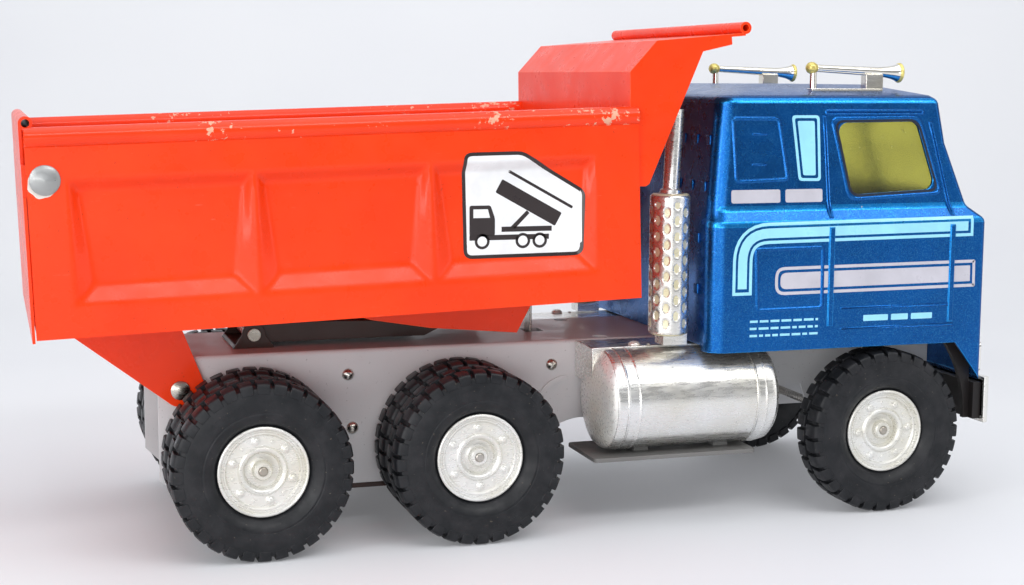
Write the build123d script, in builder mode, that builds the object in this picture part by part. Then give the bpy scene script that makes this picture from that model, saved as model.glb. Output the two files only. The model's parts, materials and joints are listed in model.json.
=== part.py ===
from build123d import *
import os
from math import cos, radians, sin, sqrt

# A pressed-steel toy dump truck, about 1:16. X runs forward, Y to the truck's left, Z up.
# The origin is on the ground, in the middle of the truck's length and width. Millimetres.

# ---------------------------------------------------------------- driving dimensions
sheet = 1.0                     # painted steel sheet of the bed
frame_sheet = 1.2               # steel sheet of the chassis
running_clearance = 0.05        # radial, between a pin and the hole it turns in
body_gap = 0.3                  # between parts that move past each other

# wheels: every wheelset is one steel axle with its hubs pressed on
tyre_radius = 33.0
tyre_width = 17.4
dual_gap = 3.3
tyre_bore = 15.6
rear_wheel_face = 70.5          # outer face of the outer rear tyres, from the middle
front_wheel_face = 69.5
axle_radius = 1.7
axle_z = tyre_radius
rear_axle_x, mid_axle_x, front_axle_x = -109.0, -28.1, 142.1
hub_lip = 16.6
lug_count = 6
lug_circle = 11.2
axle_reach = 14.2               # the axle's end, from the outer tyre's inner face

# chassis: an inverted channel
frame_half = 29.6
deck_z = 69.8
frame_low = 17.3                # underside of the deep rear part
frame_rear, frame_front = -142.0, 183.0
plate_x, plate_length, plate_sheet = -68.5, 134.0, 2.0      # plate under the deep rear part
rivet_head, rivet_height = 2.4, 1.6
spacer_spots = [(-70.1, 60.1), (-68.5, 39.2)]

# dump bed: drawn in its own frame, u forward and w up from the hinge, nose slightly high
hinge_x, hinge_z = -133.9, 57.4
bed_tilt = 1.85
hinge_pin_radius, hinge_head = 2.0, 3.7
bed_rear, bed_front = -51.0, 169.6      # u of the side walls' ends
wall_low, wall_top = 28.4, 94.5         # w of the side walls' edges
floor_w = 31.0                          # w of the floor's underside
wall_face = 69.5                        # outer face of the side walls
rim_radius, rim_y, rim_w = 3.7, 67.3, 96.8
panel_count, panel_pitch, first_panel_u = 3, 63.6, -6.3
panel_depth = 3.3
panel_half, panel_low, panel_high = 30.9, 39.5, 82.5        # a pressed panel's outer edge
bottom_low_half, bottom_high_half = 24.1, 28.2              # its flat bottom, wider at the top
bottom_low, bottom_high = 46.4, 78.6
cheek_face = wall_face - sheet          # outer face of the headboard's cheeks

# tailgate, hung from two rivets near the top
gate_hinge_u, gate_hinge_w = -45.0, 82.7
gate_face_u = -51.4                     # front face of the gate's plate
gate_low_w, gate_step_w, gate_shoulder_w, gate_top_w = 27.4, 77.0, 88.0, 102.0
gate_roll_radius = 2.4
gate_pin_radius, gate_head, gate_head_height = 2.0, 5.2, 1.6

# lift arm between the deck and the bed's floor
arm_x, arm_z = -104.0, 75.0
arm_half = 15.0
arm_tip_x = -8.0
roller_radius = 4.5
arm_gap = 0.65                  # roller to floor at rest; never under 0.3 as both rise together
pin_radius = 1.5

# latch strip behind the cab
latch_x, latch_z = 12.6, 60.1
latch_half = 4.0

# cab
cab_rear, cab_front = 64.0, 184.7
cab_half = 68.0
cab_low = 68.0
belt_low, belt_high = 118.0, 123.5
visor_z, roof_z, crown_z = 148.4, 165.5, 171.5
nose_drop = 18.0                # how far the cab's nose reaches below its sides
seam_low, seam_high = 77.0, 116.0
cab_wall = 1.5
rear_corner, front_corner = 7.0, 2.2    # upright corners, rounded at the back and crisp in front
sharpest_corner = 0.4
pane = 1.0
glass_low, glass_high = 127.0, 159.6
seat_face, seat_width, dash_half = 53.0, 38.0, 57.0
cab_floor = 1.5

# chassis furniture
tank_radius, tank_y, tank_z = 19.7, 49.3, 49.1
tank_rear, tank_front = 22.0, 96.0
band_proud, saddle_depth = 0.5, 15.0
step_low, step_sheet, step_length, step_width = 26.8, 1.6, 68.0, 32.0
post_x, post_length, post_width = (42.0, 76.0), 6.0, 8.0
stack_x, stack_y = 53.9, 50.0
muffler_low, muffler_high, muffler_radius = 73.7, 129.3, 7.9
pipe_low, pipe_length, pipe_radius, pipe_bore = 126.0, 36.0, 3.2, 2.2
horn_x, horn_y, horn_z = 115.4, 47.0, 178.0
horn_dip = -0.045               # the horns point slightly down
horn_foot = horn_z - 11.5
bumper_front, bumper_half = 189.57, 68.0
bumper_low, bumper_high = 34.0, 53.0
bumper_sheet, backing_high = 1.4, 50.5

os.makedirs("parts", exist_ok=True)


# ---------------------------------------------------------------- helpers
def save(builder, name):
    builder.part.label = name
    export_step(builder.part, f"parts/{name}.step")


def side_plane(offset=0.0):
    """XZ plane looking at the truck's right side: local x forward, y up, normal to the right."""
    return Plane(origin=(0, -offset, 0), x_dir=(1, 0, 0), z_dir=(0, -1, 0))


def hinge_plane(offset=0.0):
    """The same view of the bed, with u and w measured from the bed's hinge."""
    tilt = radians(bed_tilt)
    return Plane(origin=(hinge_x, -offset, hinge_z), x_dir=(cos(tilt), 0, sin(tilt)),
                 z_dir=(0, -1, 0))


def bed_level(w):
    """A plane parallel to the bed's floor: local x is u, local y is Y."""
    tilt = radians(bed_tilt)
    return Plane(origin=(hinge_x - w * sin(tilt), 0, hinge_z + w * cos(tilt)),
                 x_dir=(cos(tilt), 0, sin(tilt)), z_dir=(-sin(tilt), 0, cos(tilt)))


def bed_section(u):
    """A plane across the bed: local x is Y, local y is w."""
    tilt = radians(bed_tilt)
    return Plane(origin=(hinge_x + u * cos(tilt), 0, hinge_z + u * sin(tilt)),
                 x_dir=(0, 1, 0), z_dir=(cos(tilt), 0, sin(tilt)))


def bed_point(u, w):
    tilt = radians(bed_tilt)
    return (hinge_x + u * cos(tilt) - w * sin(tilt), hinge_z + u * sin(tilt) + w * cos(tilt))


def wheel_plane(x, inner_face, side):
    """Profile plane of a wheel: local x outward from its inner face, local y the radius."""
    return Plane(origin=(x, side * inner_face, axle_z), x_dir=(0, side, 0), z_dir=(side, 0, 0))


def wheel_axis(x):
    return Axis((x, 0, axle_z), (0, 1, 0))


def cross_plane(x, z, side, start=0.0):
    """Profile plane of a pin across the truck: local x outward to one side, local y the radius."""
    return Plane(origin=(x, side * start, z), x_dir=(0, side, 0), z_dir=(side, 0, 0))


def dome(start, radius, height):
    """Arc of a rivet's round head, from its rim at start to its top on the axis."""
    ball = (radius ** 2 + height ** 2) / (2 * height)
    middle = sqrt(ball ** 2 - radius ** 2 / 4) - (ball - height)
    ThreePointArc((start, radius), (start + middle, radius / 2), (start + height, 0))


# ---------------------------------------------------------------- wheels
def tyre(name, x, inner_face, side):
    width = tyre_width
    groove, depth = 1.0, 1.2
    with BuildPart() as part:
        with BuildSketch(wheel_plane(x, inner_face, side)):
            with BuildLine():
                Polyline((3.4, tyre_bore), (1.0, 17.6), (0.0, 21.5))
                ThreePointArc((0.0, 21.5), (0.1, 26.5), (0.9, 31.0))
                Polyline((0.9, 31.0), (2.4, tyre_radius), (width / 2 - groove, tyre_radius),
                         (width / 2 - groove, tyre_radius - depth),
                         (width / 2 + groove, tyre_radius - depth),
                         (width / 2 + groove, tyre_radius), (width - 2.4, tyre_radius),
                         (width - 0.9, 31.0))
                ThreePointArc((width - 0.9, 31.0), (width - 0.1, 26.5), (width, 22.3))
                Polyline((width, 22.3), (width, 21.3), (15.2, 17.8), (13.6, 16.8),
                         (13.6, tyre_bore), (3.4, tyre_bore))
            make_face()
        revolve(axis=wheel_axis(x))
    save(part, name)


def outer_hub(name, x, inner_face, side):
    with BuildPart() as part:
        with BuildSketch(wheel_plane(x, inner_face, side)):
            with BuildLine():
                Polyline((3.0, axle_radius), (13.6, axle_radius), (13.6, 3.0), (13.0, 3.6),
                         (11.2, 3.6), (10.6, 6.2), (12.9, 6.8), (13.3, 7.6), (13.3, 8.5),
                         (12.6, 9.1), (12.6, 13.2), (13.4, 13.5), (13.4, 14.1),
                         (12.9, 14.5), (12.9, 15.1), (14.8, 15.6), (14.8, hub_lip),
                         (13.6, hub_lip), (13.6, tyre_bore), (3.0, tyre_bore),
                         (3.0, 14.3), (9.4, 14.3), (9.4, 5.0), (3.0, 5.0), close=True)
            make_face()
        revolve(axis=wheel_axis(x))
        face_plane = Plane(origin=(x, side * (inner_face + 12.6), axle_z),
                           x_dir=(1, 0, 0), z_dir=(0, side, 0))
        with BuildSketch(face_plane):
            with PolarLocations(lug_circle, lug_count, start_angle=15):
                Circle(1.3)
        extrude(amount=0.8)
    save(part, name)


def inner_hub(name, x, inner_face, side):
    with BuildPart() as part:
        with BuildSketch(wheel_plane(x, inner_face, side)):
            with BuildLine():
                Polyline((1.0, axle_radius), (16.0, axle_radius), (16.0, 4.5), (9.2, 4.5),
                         (9.2, 14.0), (13.6, 14.0), (13.6, tyre_bore), (3.4, tyre_bore),
                         (3.4, 14.0), (7.6, 14.0), (7.6, 4.5), (1.0, 4.5), close=True)
            make_face()
        revolve(axis=wheel_axis(x))
    save(part, name)


def axle(name, x, half_length):
    with BuildPart() as part:
        with BuildSketch(side_plane(-half_length)):
            with Locations((x, axle_z)):
                Circle(axle_radius)
        extrude(amount=2 * half_length)
        ends = part.edges().filter_by(GeomType.CIRCLE)
        chamfer(ends, 0.4)
    save(part, name)


sides = [("right", -1), ("left", 1)]
outer_inner_face = rear_wheel_face - tyre_width
inner_inner_face = outer_inner_face - dual_gap - tyre_width
front_inner_face = front_wheel_face - tyre_width
for row, row_x in [("rear", rear_axle_x), ("mid", mid_axle_x)]:
    for side_name, side in sides:
        tyre(f"{row}_{side_name}_outer_tyre", row_x, outer_inner_face, side)
        outer_hub(f"{row}_{side_name}_outer_hub", row_x, outer_inner_face, side)
        tyre(f"{row}_{side_name}_inner_tyre", row_x, inner_inner_face, side)
        inner_hub(f"{row}_{side_name}_inner_hub", row_x, inner_inner_face, side)
    axle(f"{row}_axle", row_x, outer_inner_face + axle_reach)
for side_name, side in sides:
    tyre(f"front_{side_name}_tyre", front_axle_x, front_inner_face, side)
    outer_hub(f"front_{side_name}_hub", front_axle_x, front_inner_face, side)
axle("front_axle", front_axle_x, front_inner_face + axle_reach)


# ---------------------------------------------------------------- chassis
shallow_low, nose_low, hanger_low = 38.0, 47.0, 26.0
hanger_half = 12.0
frame_inner = frame_half - frame_sheet
latch_slot_x = (9.6, 17.6)

with BuildPart() as chassis_frame:
    with BuildSketch(side_plane(-frame_half)):
        with BuildLine():
            Polyline((2.0, frame_low), (frame_rear + 6, frame_low), (frame_rear, frame_low + 6),
                     (frame_rear, deck_z), (frame_front, deck_z), (frame_front, nose_low),
                     (front_axle_x + hanger_half + 7, nose_low),
                     (front_axle_x + hanger_half, hanger_low),
                     (front_axle_x - hanger_half, hanger_low),
                     (front_axle_x - hanger_half - 7, nose_low), (104.0, nose_low),
                     (98.0, shallow_low), (24.0, shallow_low))
            ThreePointArc((24.0, shallow_low), (10.0, 32.0), (2.0, frame_low))
        make_face()
    extrude(amount=2 * frame_half)
    top_edges = chassis_frame.edges().filter_by(Axis.X).group_by(Axis.Z)[-1]
    fillet(top_edges, 1.8)
    with BuildSketch(Plane.YZ.offset(frame_rear - 1)):
        with Locations((0, (deck_z - frame_sheet) / 2)):
            Rectangle(2 * frame_inner, deck_z - frame_sheet)
    extrude(amount=frame_front - frame_rear + 2, mode=Mode.SUBTRACT)
    # curved stiffening rib pressed outwards where the deep part ends
    with BuildSketch(side_plane(-frame_half - 0.7)):
        with BuildLine():
            ThreePointArc((6.0, 44.0), (9.5, 51.5), (19.0, 55.6))
            Line((19.0, 55.6), (19.0, 53.6))
            ThreePointArc((19.0, 53.6), (11.0, 50.2), (8.0, 44.0))
            Line((8.0, 44.0), (6.0, 44.0))
        make_face()
    extrude(amount=2 * frame_half + 1.4)
    with BuildSketch(side_plane(-frame_inner)):
        with Locations((12.5, 50.0)):
            Rectangle(20, 16)
    extrude(amount=2 * frame_inner, mode=Mode.SUBTRACT)
    # holes for the axles, which turn in them, and for the pins and rivets
    with BuildSketch(side_plane(-frame_half - 2)):
        with Locations(*[(x, axle_z) for x in (rear_axle_x, mid_axle_x, front_axle_x)]):
            Circle(axle_radius + running_clearance)
        with Locations(*spacer_spots):
            Circle(pin_radius)
        with Locations((latch_x, latch_z)):
            Circle(pin_radius)
        with Locations((hinge_x, hinge_z)):
            Circle(hinge_pin_radius)
    extrude(amount=2 * frame_half + 4, mode=Mode.SUBTRACT)
    # slot for the latch and two round holes in the deck
    with BuildSketch(Plane.XY.offset(deck_z - 3)):
        with Locations(((latch_slot_x[0] + latch_slot_x[1]) / 2, 0)):
            Rectangle(latch_slot_x[1] - latch_slot_x[0], 2 * latch_half + 2)
        with Locations((35.0, 24.0), (35.0, -24.0)):
            Circle(3.1)
    extrude(amount=4, mode=Mode.SUBTRACT)
save(chassis_frame, "chassis_frame")

with BuildPart() as bottom_plate:
    with BuildSketch(Plane.XY.offset(frame_low - plate_sheet)):
        with Locations((plate_x, 0)):
            Rectangle(plate_length, 2 * frame_half)
    extrude(amount=plate_sheet)
    fillet(bottom_plate.edges().filter_by(Axis.Z), 3.0)
save(bottom_plate, "bottom_plate")


# round-headed rivets through the side plates into the spacers, heads outside
with BuildPart() as frame_rivets:
    for side in (-1, 1):
        for spot_x, spot_z in spacer_spots:
            with BuildSketch(cross_plane(spot_x, spot_z, side, frame_half)):
                with BuildLine():
                    Polyline((-6.0, 0), (-6.0, pin_radius), (0, pin_radius), (0, rivet_head))
                    dome(0, rivet_head, rivet_height)
                    Line((rivet_height, 0), (-6.0, 0))
                make_face()
            revolve(axis=Axis((spot_x, 0, spot_z), (0, 1, 0)))
save(frame_rivets, "frame_rivets")

with BuildPart() as frame_spacers:
    with BuildSketch(side_plane(-frame_inner)):
        with Locations(*spacer_spots):
            Circle(3.0)
            Circle(pin_radius, mode=Mode.SUBTRACT)
    extrude(amount=2 * frame_inner)
save(frame_spacers, "frame_spacers")

# pins that the bed swings on, pressed into the frame
bracket_inner = frame_half + body_gap
bracket_outer = bracket_inner + sheet
with BuildPart() as bed_hinge_pins:
    for side in (-1, 1):
        head_start = bracket_outer + body_gap
        with BuildSketch(cross_plane(hinge_x, hinge_z, side)):
            with BuildLine():
                Polyline((frame_inner - 1.2, 0), (frame_inner - 1.2, 3.2), (frame_inner, 3.2),
                         (frame_inner, hinge_pin_radius), (head_start, hinge_pin_radius),
                         (head_start, hinge_head))
                dome(head_start, hinge_head, 0.9)
                Line((head_start + 0.9, 0), (frame_inner - 1.2, 0))
            make_face()
        revolve(axis=Axis((hinge_x, 0, hinge_z), (0, 1, 0)))
save(bed_hinge_pins, "bed_hinge_pins")


# ---------------------------------------------------------------- dump bed
def panel_outline(center_u, grow):
    """Outer edge of one pressed panel in the side wall."""
    half = panel_half + grow
    low, high = panel_low - grow, panel_high + grow
    Polyline((center_u - half, low), (center_u + half, low),
             (center_u + half, high), (center_u - half, high), close=True)


def panel_bottom(center_u, grow):
    """Flat bottom of one pressed panel, wider at its top."""
    low_half, high_half = bottom_low_half + grow, bottom_high_half + grow
    low, high = bottom_low - grow, bottom_high + grow
    Polyline((center_u - low_half, low), (center_u + low_half, low),
             (center_u + high_half, high), (center_u - high_half, high), close=True)


def pressed_panel(side, center_u, face, depth, grow, mode):
    """A tapered block from the wall face inwards, added for the bulge or cut for the recess."""
    with BuildSketch(hinge_plane(-side * face)) as outline:
        with BuildLine():
            panel_outline(center_u, grow)
        make_face()
    with BuildSketch(hinge_plane(-side * (face - depth))) as bottom:
        with BuildLine():
            panel_bottom(center_u, grow)
        make_face()
    loft(sections=[outline.sketch, bottom.sketch], ruled=True, clean=False, mode=mode)


with BuildPart() as bed_shell:
    with BuildSketch(bed_level(floor_w)):
        with Locations(((bed_rear + bed_front) / 2, 0)):
            Rectangle(bed_front - bed_rear, 2 * (wall_face - sheet))
    extrude(amount=sheet)
    for side in (-1, 1):
        with BuildSketch(hinge_plane(-side * wall_face)):
            with BuildLine():
                Polyline((bed_rear + 2, wall_low), (bed_front - 3.5, wall_low))
                RadiusArc((bed_front - 3.5, wall_low), (bed_front, wall_low + 3.5), -3.5)
                Polyline((bed_front, wall_low + 3.5), (bed_front, wall_top),
                         (bed_rear, wall_top), (bed_rear, wall_low + 2))
                RadiusArc((bed_rear, wall_low + 2), (bed_rear + 2, wall_low), -2.0)
            make_face()
        extrude(amount=side * sheet)
    for index in range(panel_count):
        for side in (-1, 1):
            center_u = first_panel_u + index * panel_pitch
            pressed_panel(side, center_u, wall_face - sheet, panel_depth, 0.3, Mode.ADD)
            pressed_panel(side, center_u, wall_face, panel_depth, 0.0, Mode.SUBTRACT)
    with BuildSketch(bed_section(bed_rear)):
        with Locations((rim_y, rim_w), (-rim_y, rim_w)):
            Circle(rim_radius)
            Circle(rim_radius - sheet, mode=Mode.SUBTRACT)
    extrude(amount=bed_front - bed_rear)
    # the front ends are notched for the headboard and its cheeks
    with BuildSketch(bed_section(162.5)):
        with Locations((0, 80)):
            Rectangle(2 * cheek_face, 60)
    extrude(amount=12, mode=Mode.SUBTRACT)
    # holes for the tailgate's rivets
    with BuildSketch(hinge_plane(-wall_face - 2)):
        with Locations((gate_hinge_u, gate_hinge_w)):
            Circle(gate_pin_radius)
    extrude(amount=2 * wall_face + 4, mode=Mode.SUBTRACT)
save(bed_shell, "bed_shell")

head_foot_x, head_foot_z = 30.4, bed_point(164.0, floor_w + sheet)[1] + 0.1
head_bend_x, head_bend_z = 29.2, 176.0
canopy_bend_x, canopy_bend_z = 39.8, 187.6
canopy_roll_x, canopy_roll_z, canopy_roll_radius = 76.0, 192.7, 2.3
cheek_low_z = 133.3
with BuildPart() as headboard:
    with BuildSketch(side_plane(-cheek_face)):
        with BuildLine():
            Polyline((head_foot_x, head_foot_z), (head_bend_x, head_bend_z),
                     (canopy_bend_x, canopy_bend_z), (canopy_roll_x, 190.8),
                     (canopy_roll_x, 189.8), (canopy_bend_x + 0.4, 186.5),
                     (head_bend_x + 1.05, head_bend_z - 0.4),
                     (head_foot_x + 1.0, head_foot_z), close=True)
        make_face()
    extrude(amount=2 * cheek_face)
    with BuildSketch(side_plane(-cheek_face)):
        with Locations((canopy_roll_x, canopy_roll_z)):
            Circle(canopy_roll_radius)
            Circle(canopy_roll_radius - sheet, mode=Mode.SUBTRACT)
    extrude(amount=2 * cheek_face)
    for side in (-1, 1):
        with BuildSketch(side_plane(-side * cheek_face)):
            with BuildLine():
                Polyline((head_bend_x + 0.3, head_bend_z), (canopy_bend_x, canopy_bend_z - 0.3),
                         (70.2, 190.1), (70.5, 186.4), (58.6, 183.7),
                         (37.6, cheek_low_z + 0.9), (36.2, cheek_low_z), (29.9, cheek_low_z),
                         close=True)
            make_face()
        extrude(amount=side * sheet)
save(headboard, "headboard")

with BuildPart() as hinge_brackets:
    floor_under = floor_w - 0.02
    for side in (-1, 1):
        with BuildSketch(side_plane(-side * bracket_outer)):
            with BuildLine():
                Polyline((-178.0, 83.6), bed_point(-46.0, floor_under),
                         bed_point(-1.0, floor_under), (-125.3, 60.6), (-129.2, 53.6))
                ThreePointArc((-129.2, 53.6), (-133.9, 51.2), (-138.4, 53.0))
                Line((-138.4, 53.0), (-178.0, 83.6))
            make_face()
        extrude(amount=side * sheet)
        with BuildSketch(bed_level(floor_under)):
            with Locations((-23.5, side * (bracket_inner - 3))):
                Rectangle(45, 6 + 2 * sheet)
        extrude(amount=-sheet)
    with BuildSketch(hinge_plane(-bracket_outer - 2)):
        Circle(hinge_pin_radius + running_clearance)
    extrude(amount=2 * bracket_outer + 4, mode=Mode.SUBTRACT)
save(hinge_brackets, "hinge_brackets")

gusset_face = 30.0
with BuildPart() as floor_gussets:
    for side in (-1, 1):
        with BuildSketch(side_plane(-side * gusset_face)):
            with BuildLine():
                Polyline(bed_point(48.0, floor_under), bed_point(138.6, floor_under),
                         (4.1, 85.2), (-2.1, 73.6), (-37.6, 76.9), (-61.4, 81.0), close=True)
            make_face()
        extrude(amount=side * sheet)
        with BuildSketch(bed_level(floor_under)):
            with Locations((93.0, side * (gusset_face - 4))):
                Rectangle(90, 8)
        extrude(amount=-sheet)
save(floor_gussets, "floor_gussets")

# ---------------------------------------------------------------- tailgate
gate_wide, gate_mid, gate_narrow = 69.4, cheek_face - body_gap, 62.8
gate_back_u = gate_face_u - sheet
with BuildPart() as tailgate:
    with BuildSketch(bed_section(gate_back_u)):
        with BuildLine():
            Polyline((-gate_wide, gate_low_w), (gate_wide, gate_low_w), (gate_wide, gate_step_w),
                     (gate_mid, gate_step_w), (gate_mid, gate_shoulder_w),
                     (gate_narrow, gate_shoulder_w), (gate_narrow, gate_top_w),
                     (-gate_narrow, gate_top_w), (-gate_narrow, gate_shoulder_w),
                     (-gate_mid, gate_shoulder_w), (-gate_mid, gate_step_w),
                     (-gate_wide, gate_step_w), close=True)
        make_face()
    extrude(amount=sheet)
    with BuildSketch(hinge_plane(-gate_narrow)):
        with Locations((gate_back_u + gate_roll_radius, gate_top_w - 0.2)):
            Circle(gate_roll_radius)
            Circle(gate_roll_radius - sheet, mode=Mode.SUBTRACT)
    extrude(amount=2 * gate_narrow)
    for side in (-1, 1):
        with BuildSketch(hinge_plane(-side * gate_mid)):
            with BuildLine():
                Polyline((gate_face_u, 62.0), (gate_hinge_u + 4.2, gate_hinge_w - 3.4))
                RadiusArc((gate_hinge_u + 4.2, gate_hinge_w - 3.4),
                          (gate_hinge_u, gate_hinge_w + 5.4), -5.4)
                Polyline((gate_hinge_u, gate_hinge_w + 5.4), (gate_face_u, gate_shoulder_w),
                         (gate_face_u, 62.0))
            make_face()
            with Locations((gate_hinge_u, gate_hinge_w)):
                Circle(gate_pin_radius + running_clearance, mode=Mode.SUBTRACT)
        extrude(amount=side * sheet)
save(tailgate, "tailgate")

gate_pin_x, gate_pin_z = bed_point(gate_hinge_u, gate_hinge_w)
with BuildPart() as tailgate_rivets:
    for side in (-1, 1):
        ear_inner = gate_mid - sheet - body_gap
        with BuildSketch(cross_plane(gate_pin_x, gate_pin_z, side)):
            with BuildLine():
                Polyline((ear_inner - 1.0, 0), (ear_inner - 1.0, 3.2), (ear_inner, 3.2),
                         (ear_inner, gate_pin_radius), (wall_face, gate_pin_radius),
                         (wall_face, gate_head))
                dome(wall_face, gate_head, gate_head_height)
                Line((wall_face + gate_head_height, 0), (ear_inner - 1.0, 0))
            make_face()
        revolve(axis=Axis((gate_pin_x, 0, gate_pin_z), (0, 1, 0)))
save(tailgate_rivets, "tailgate_rivets")

# ---------------------------------------------------------------- lift arm
ear_face = arm_half + body_gap + frame_sheet
with BuildPart() as arm_bracket:
    with BuildSketch(side_plane(-ear_face)):
        with BuildLine():
            Polyline((arm_x - 8, deck_z), (arm_x + 8, deck_z), (arm_x + 4.5, arm_z))
            ThreePointArc((arm_x + 4.5, arm_z), (arm_x, arm_z + 4.5), (arm_x - 4.5, arm_z))
            Line((arm_x - 4.5, arm_z), (arm_x - 8, deck_z))
        make_face()
    extrude(amount=2 * ear_face)
    with BuildSketch(side_plane(-arm_half - body_gap)):
        with Locations((arm_x, deck_z + frame_sheet + 10)):
            Rectangle(20, 20)
    extrude(amount=2 * (arm_half + body_gap), mode=Mode.SUBTRACT)
    with BuildSketch(side_plane(-ear_face - 1)):
        with Locations((arm_x, arm_z)):
            Circle(pin_radius)
    extrude(amount=2 * ear_face + 2, mode=Mode.SUBTRACT)
save(arm_bracket, "arm_bracket")

with BuildPart() as arm_pin:
    with BuildSketch(side_plane(-ear_face)):
        with Locations((arm_x, arm_z)):
            Circle(pin_radius)
    extrude(amount=2 * ear_face)
    for side in (-1, 1):
        with BuildSketch(side_plane(-side * ear_face)):
            with Locations((arm_x, arm_z)):
                Circle(2.6)
        extrude(amount=-side * 1.0)
save(arm_pin, "arm_pin")

# the roller just clears the floor's underside
arm_drop = roller_radius + arm_gap
tip_u = arm_tip_x - hinge_x
arm_tip_z = hinge_z + (floor_w - arm_drop) / cos(radians(bed_tilt)) + tip_u * sin(radians(bed_tilt))
fork_half = 11.0
with BuildPart() as lift_arm:
    with BuildSketch(side_plane(-arm_half)):
        with BuildLine():
            ThreePointArc((arm_x, arm_z - 3.4), (arm_x - 4.2, arm_z), (arm_x, arm_z + 4.6))
            Polyline((arm_x, arm_z + 4.6), (-38.0, 78.0), (arm_tip_x - 2, arm_tip_z + 3.2))
            ThreePointArc((arm_tip_x - 2, arm_tip_z + 3.2), (arm_tip_x + 3.2, arm_tip_z),
                          (arm_tip_x - 1, arm_tip_z - 3.2))
            Polyline((arm_tip_x - 1, arm_tip_z - 3.2), (-36.0, 71.8), (arm_x, arm_z - 3.4))
        make_face()
    extrude(amount=2 * arm_half)
    # hollow from below: a top web and two side flanges
    with BuildSketch(side_plane(-arm_half + frame_sheet)):
        with BuildLine():
            Polyline((arm_x - 10, 60), (arm_x - 10, arm_z + 3.4), (arm_x, arm_z + 3.4),
                     (-38.2, 76.8), (arm_tip_x - 7.5, arm_tip_z + 0.2),
                     (arm_tip_x - 7.5, 110), (arm_tip_x + 15, 110), (arm_tip_x + 15, 60),
                     close=True)
        make_face()
    extrude(amount=2 * (arm_half - frame_sheet), mode=Mode.SUBTRACT)
    with BuildSketch(side_plane(-arm_half - 1)):
        with Locations((arm_x, arm_z)):
            Circle(pin_radius + running_clearance)
        with Locations((arm_tip_x, arm_tip_z)):
            Circle(pin_radius)
    extrude(amount=2 * arm_half + 2, mode=Mode.SUBTRACT)
save(lift_arm, "lift_arm")

with BuildPart() as roller_pin:
    with BuildSketch(side_plane(-arm_half - 0.8)):
        with Locations((arm_tip_x, arm_tip_z)):
            Circle(pin_radius)
    extrude(amount=2 * arm_half + 1.6)
save(roller_pin, "roller_pin")

with BuildPart() as lift_roller:
    with BuildSketch(side_plane(-fork_half)):
        with Locations((arm_tip_x, arm_tip_z)):
            Circle(roller_radius)
            Circle(pin_radius + running_clearance, mode=Mode.SUBTRACT)
    extrude(amount=2 * fork_half)
save(lift_roller, "lift_roller")

with BuildPart() as lift_spring:
    with BuildSketch(side_plane(-9.0)):
        with Locations((arm_x, arm_z)):
            Circle(3.1)
            Circle(1.9, mode=Mode.SUBTRACT)
    extrude(amount=18.0)
save(lift_spring, "lift_spring")

# ---------------------------------------------------------------- latch
with BuildPart() as latch_pin:
    with BuildSketch(side_plane(-frame_half)):
        with Locations((latch_x, latch_z)):
            Circle(pin_radius)
    extrude(amount=2 * frame_half)
    for side in (-1, 1):
        with BuildSketch(cross_plane(latch_x, latch_z, side, frame_half)):
            with BuildLine():
                Line((0, 0), (0, rivet_head))
                dome(0, rivet_head, rivet_height)
                Line((rivet_height, 0), (0, 0))
            make_face()
        revolve(axis=Axis((latch_x, 0, latch_z), (0, 1, 0)))
save(latch_pin, "latch_pin")

latch_top = 82.6
with BuildPart() as latch:
    with BuildSketch(side_plane(-latch_half)):
        with BuildLine():
            Polyline((latch_x - 1.0, latch_z + 1.6), (latch_x - 1.0, latch_top - 2.2))
            RadiusArc((latch_x - 1.0, latch_top - 2.2), (latch_x - 2.2, latch_top - 1.0), -1.2)
            Polyline((latch_x - 2.2, latch_top - 1.0), (latch_x - 5.6, latch_top - 2.0),
                     (latch_x - 5.6, latch_top - 0.9), (latch_x - 2.2, latch_top))
            RadiusArc((latch_x - 2.2, latch_top), (latch_x, latch_top - 2.2), 2.2)
            Polyline((latch_x, latch_top - 2.2), (latch_x, latch_z + 1.6),
                     (latch_x - 1.0, latch_z + 1.6))
        make_face()
        with Locations((latch_x, latch_z)):
            Circle(2.7)
            Circle(pin_radius + running_clearance, mode=Mode.SUBTRACT)
    extrude(amount=2 * latch_half)
save(latch, "latch")

with BuildPart() as latch_spring:
    with BuildSketch(side_plane(latch_half + body_gap)):
        with Locations((latch_x, latch_z)):
            Circle(2.8)
            Circle(1.9, mode=Mode.SUBTRACT)
    extrude(amount=9.0)
save(latch_spring, "latch_spring")


# ---------------------------------------------------------------- cab
def cab_ring(z, rear, front, half, inset):
    """One level of the cab's outline, its rear corners rounder than its front ones."""
    with BuildSketch(Plane.XY.offset(z)) as ring:
        with Locations(((rear + front) / 2, 0)):
            Rectangle(front - rear - 2 * inset, 2 * (half - inset))
        fillet(ring.vertices().group_by(Axis.X)[0], rear_corner - inset)
        fillet(ring.vertices().group_by(Axis.X)[-1], max(front_corner - inset, sharpest_corner))
    return ring.sketch


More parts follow.
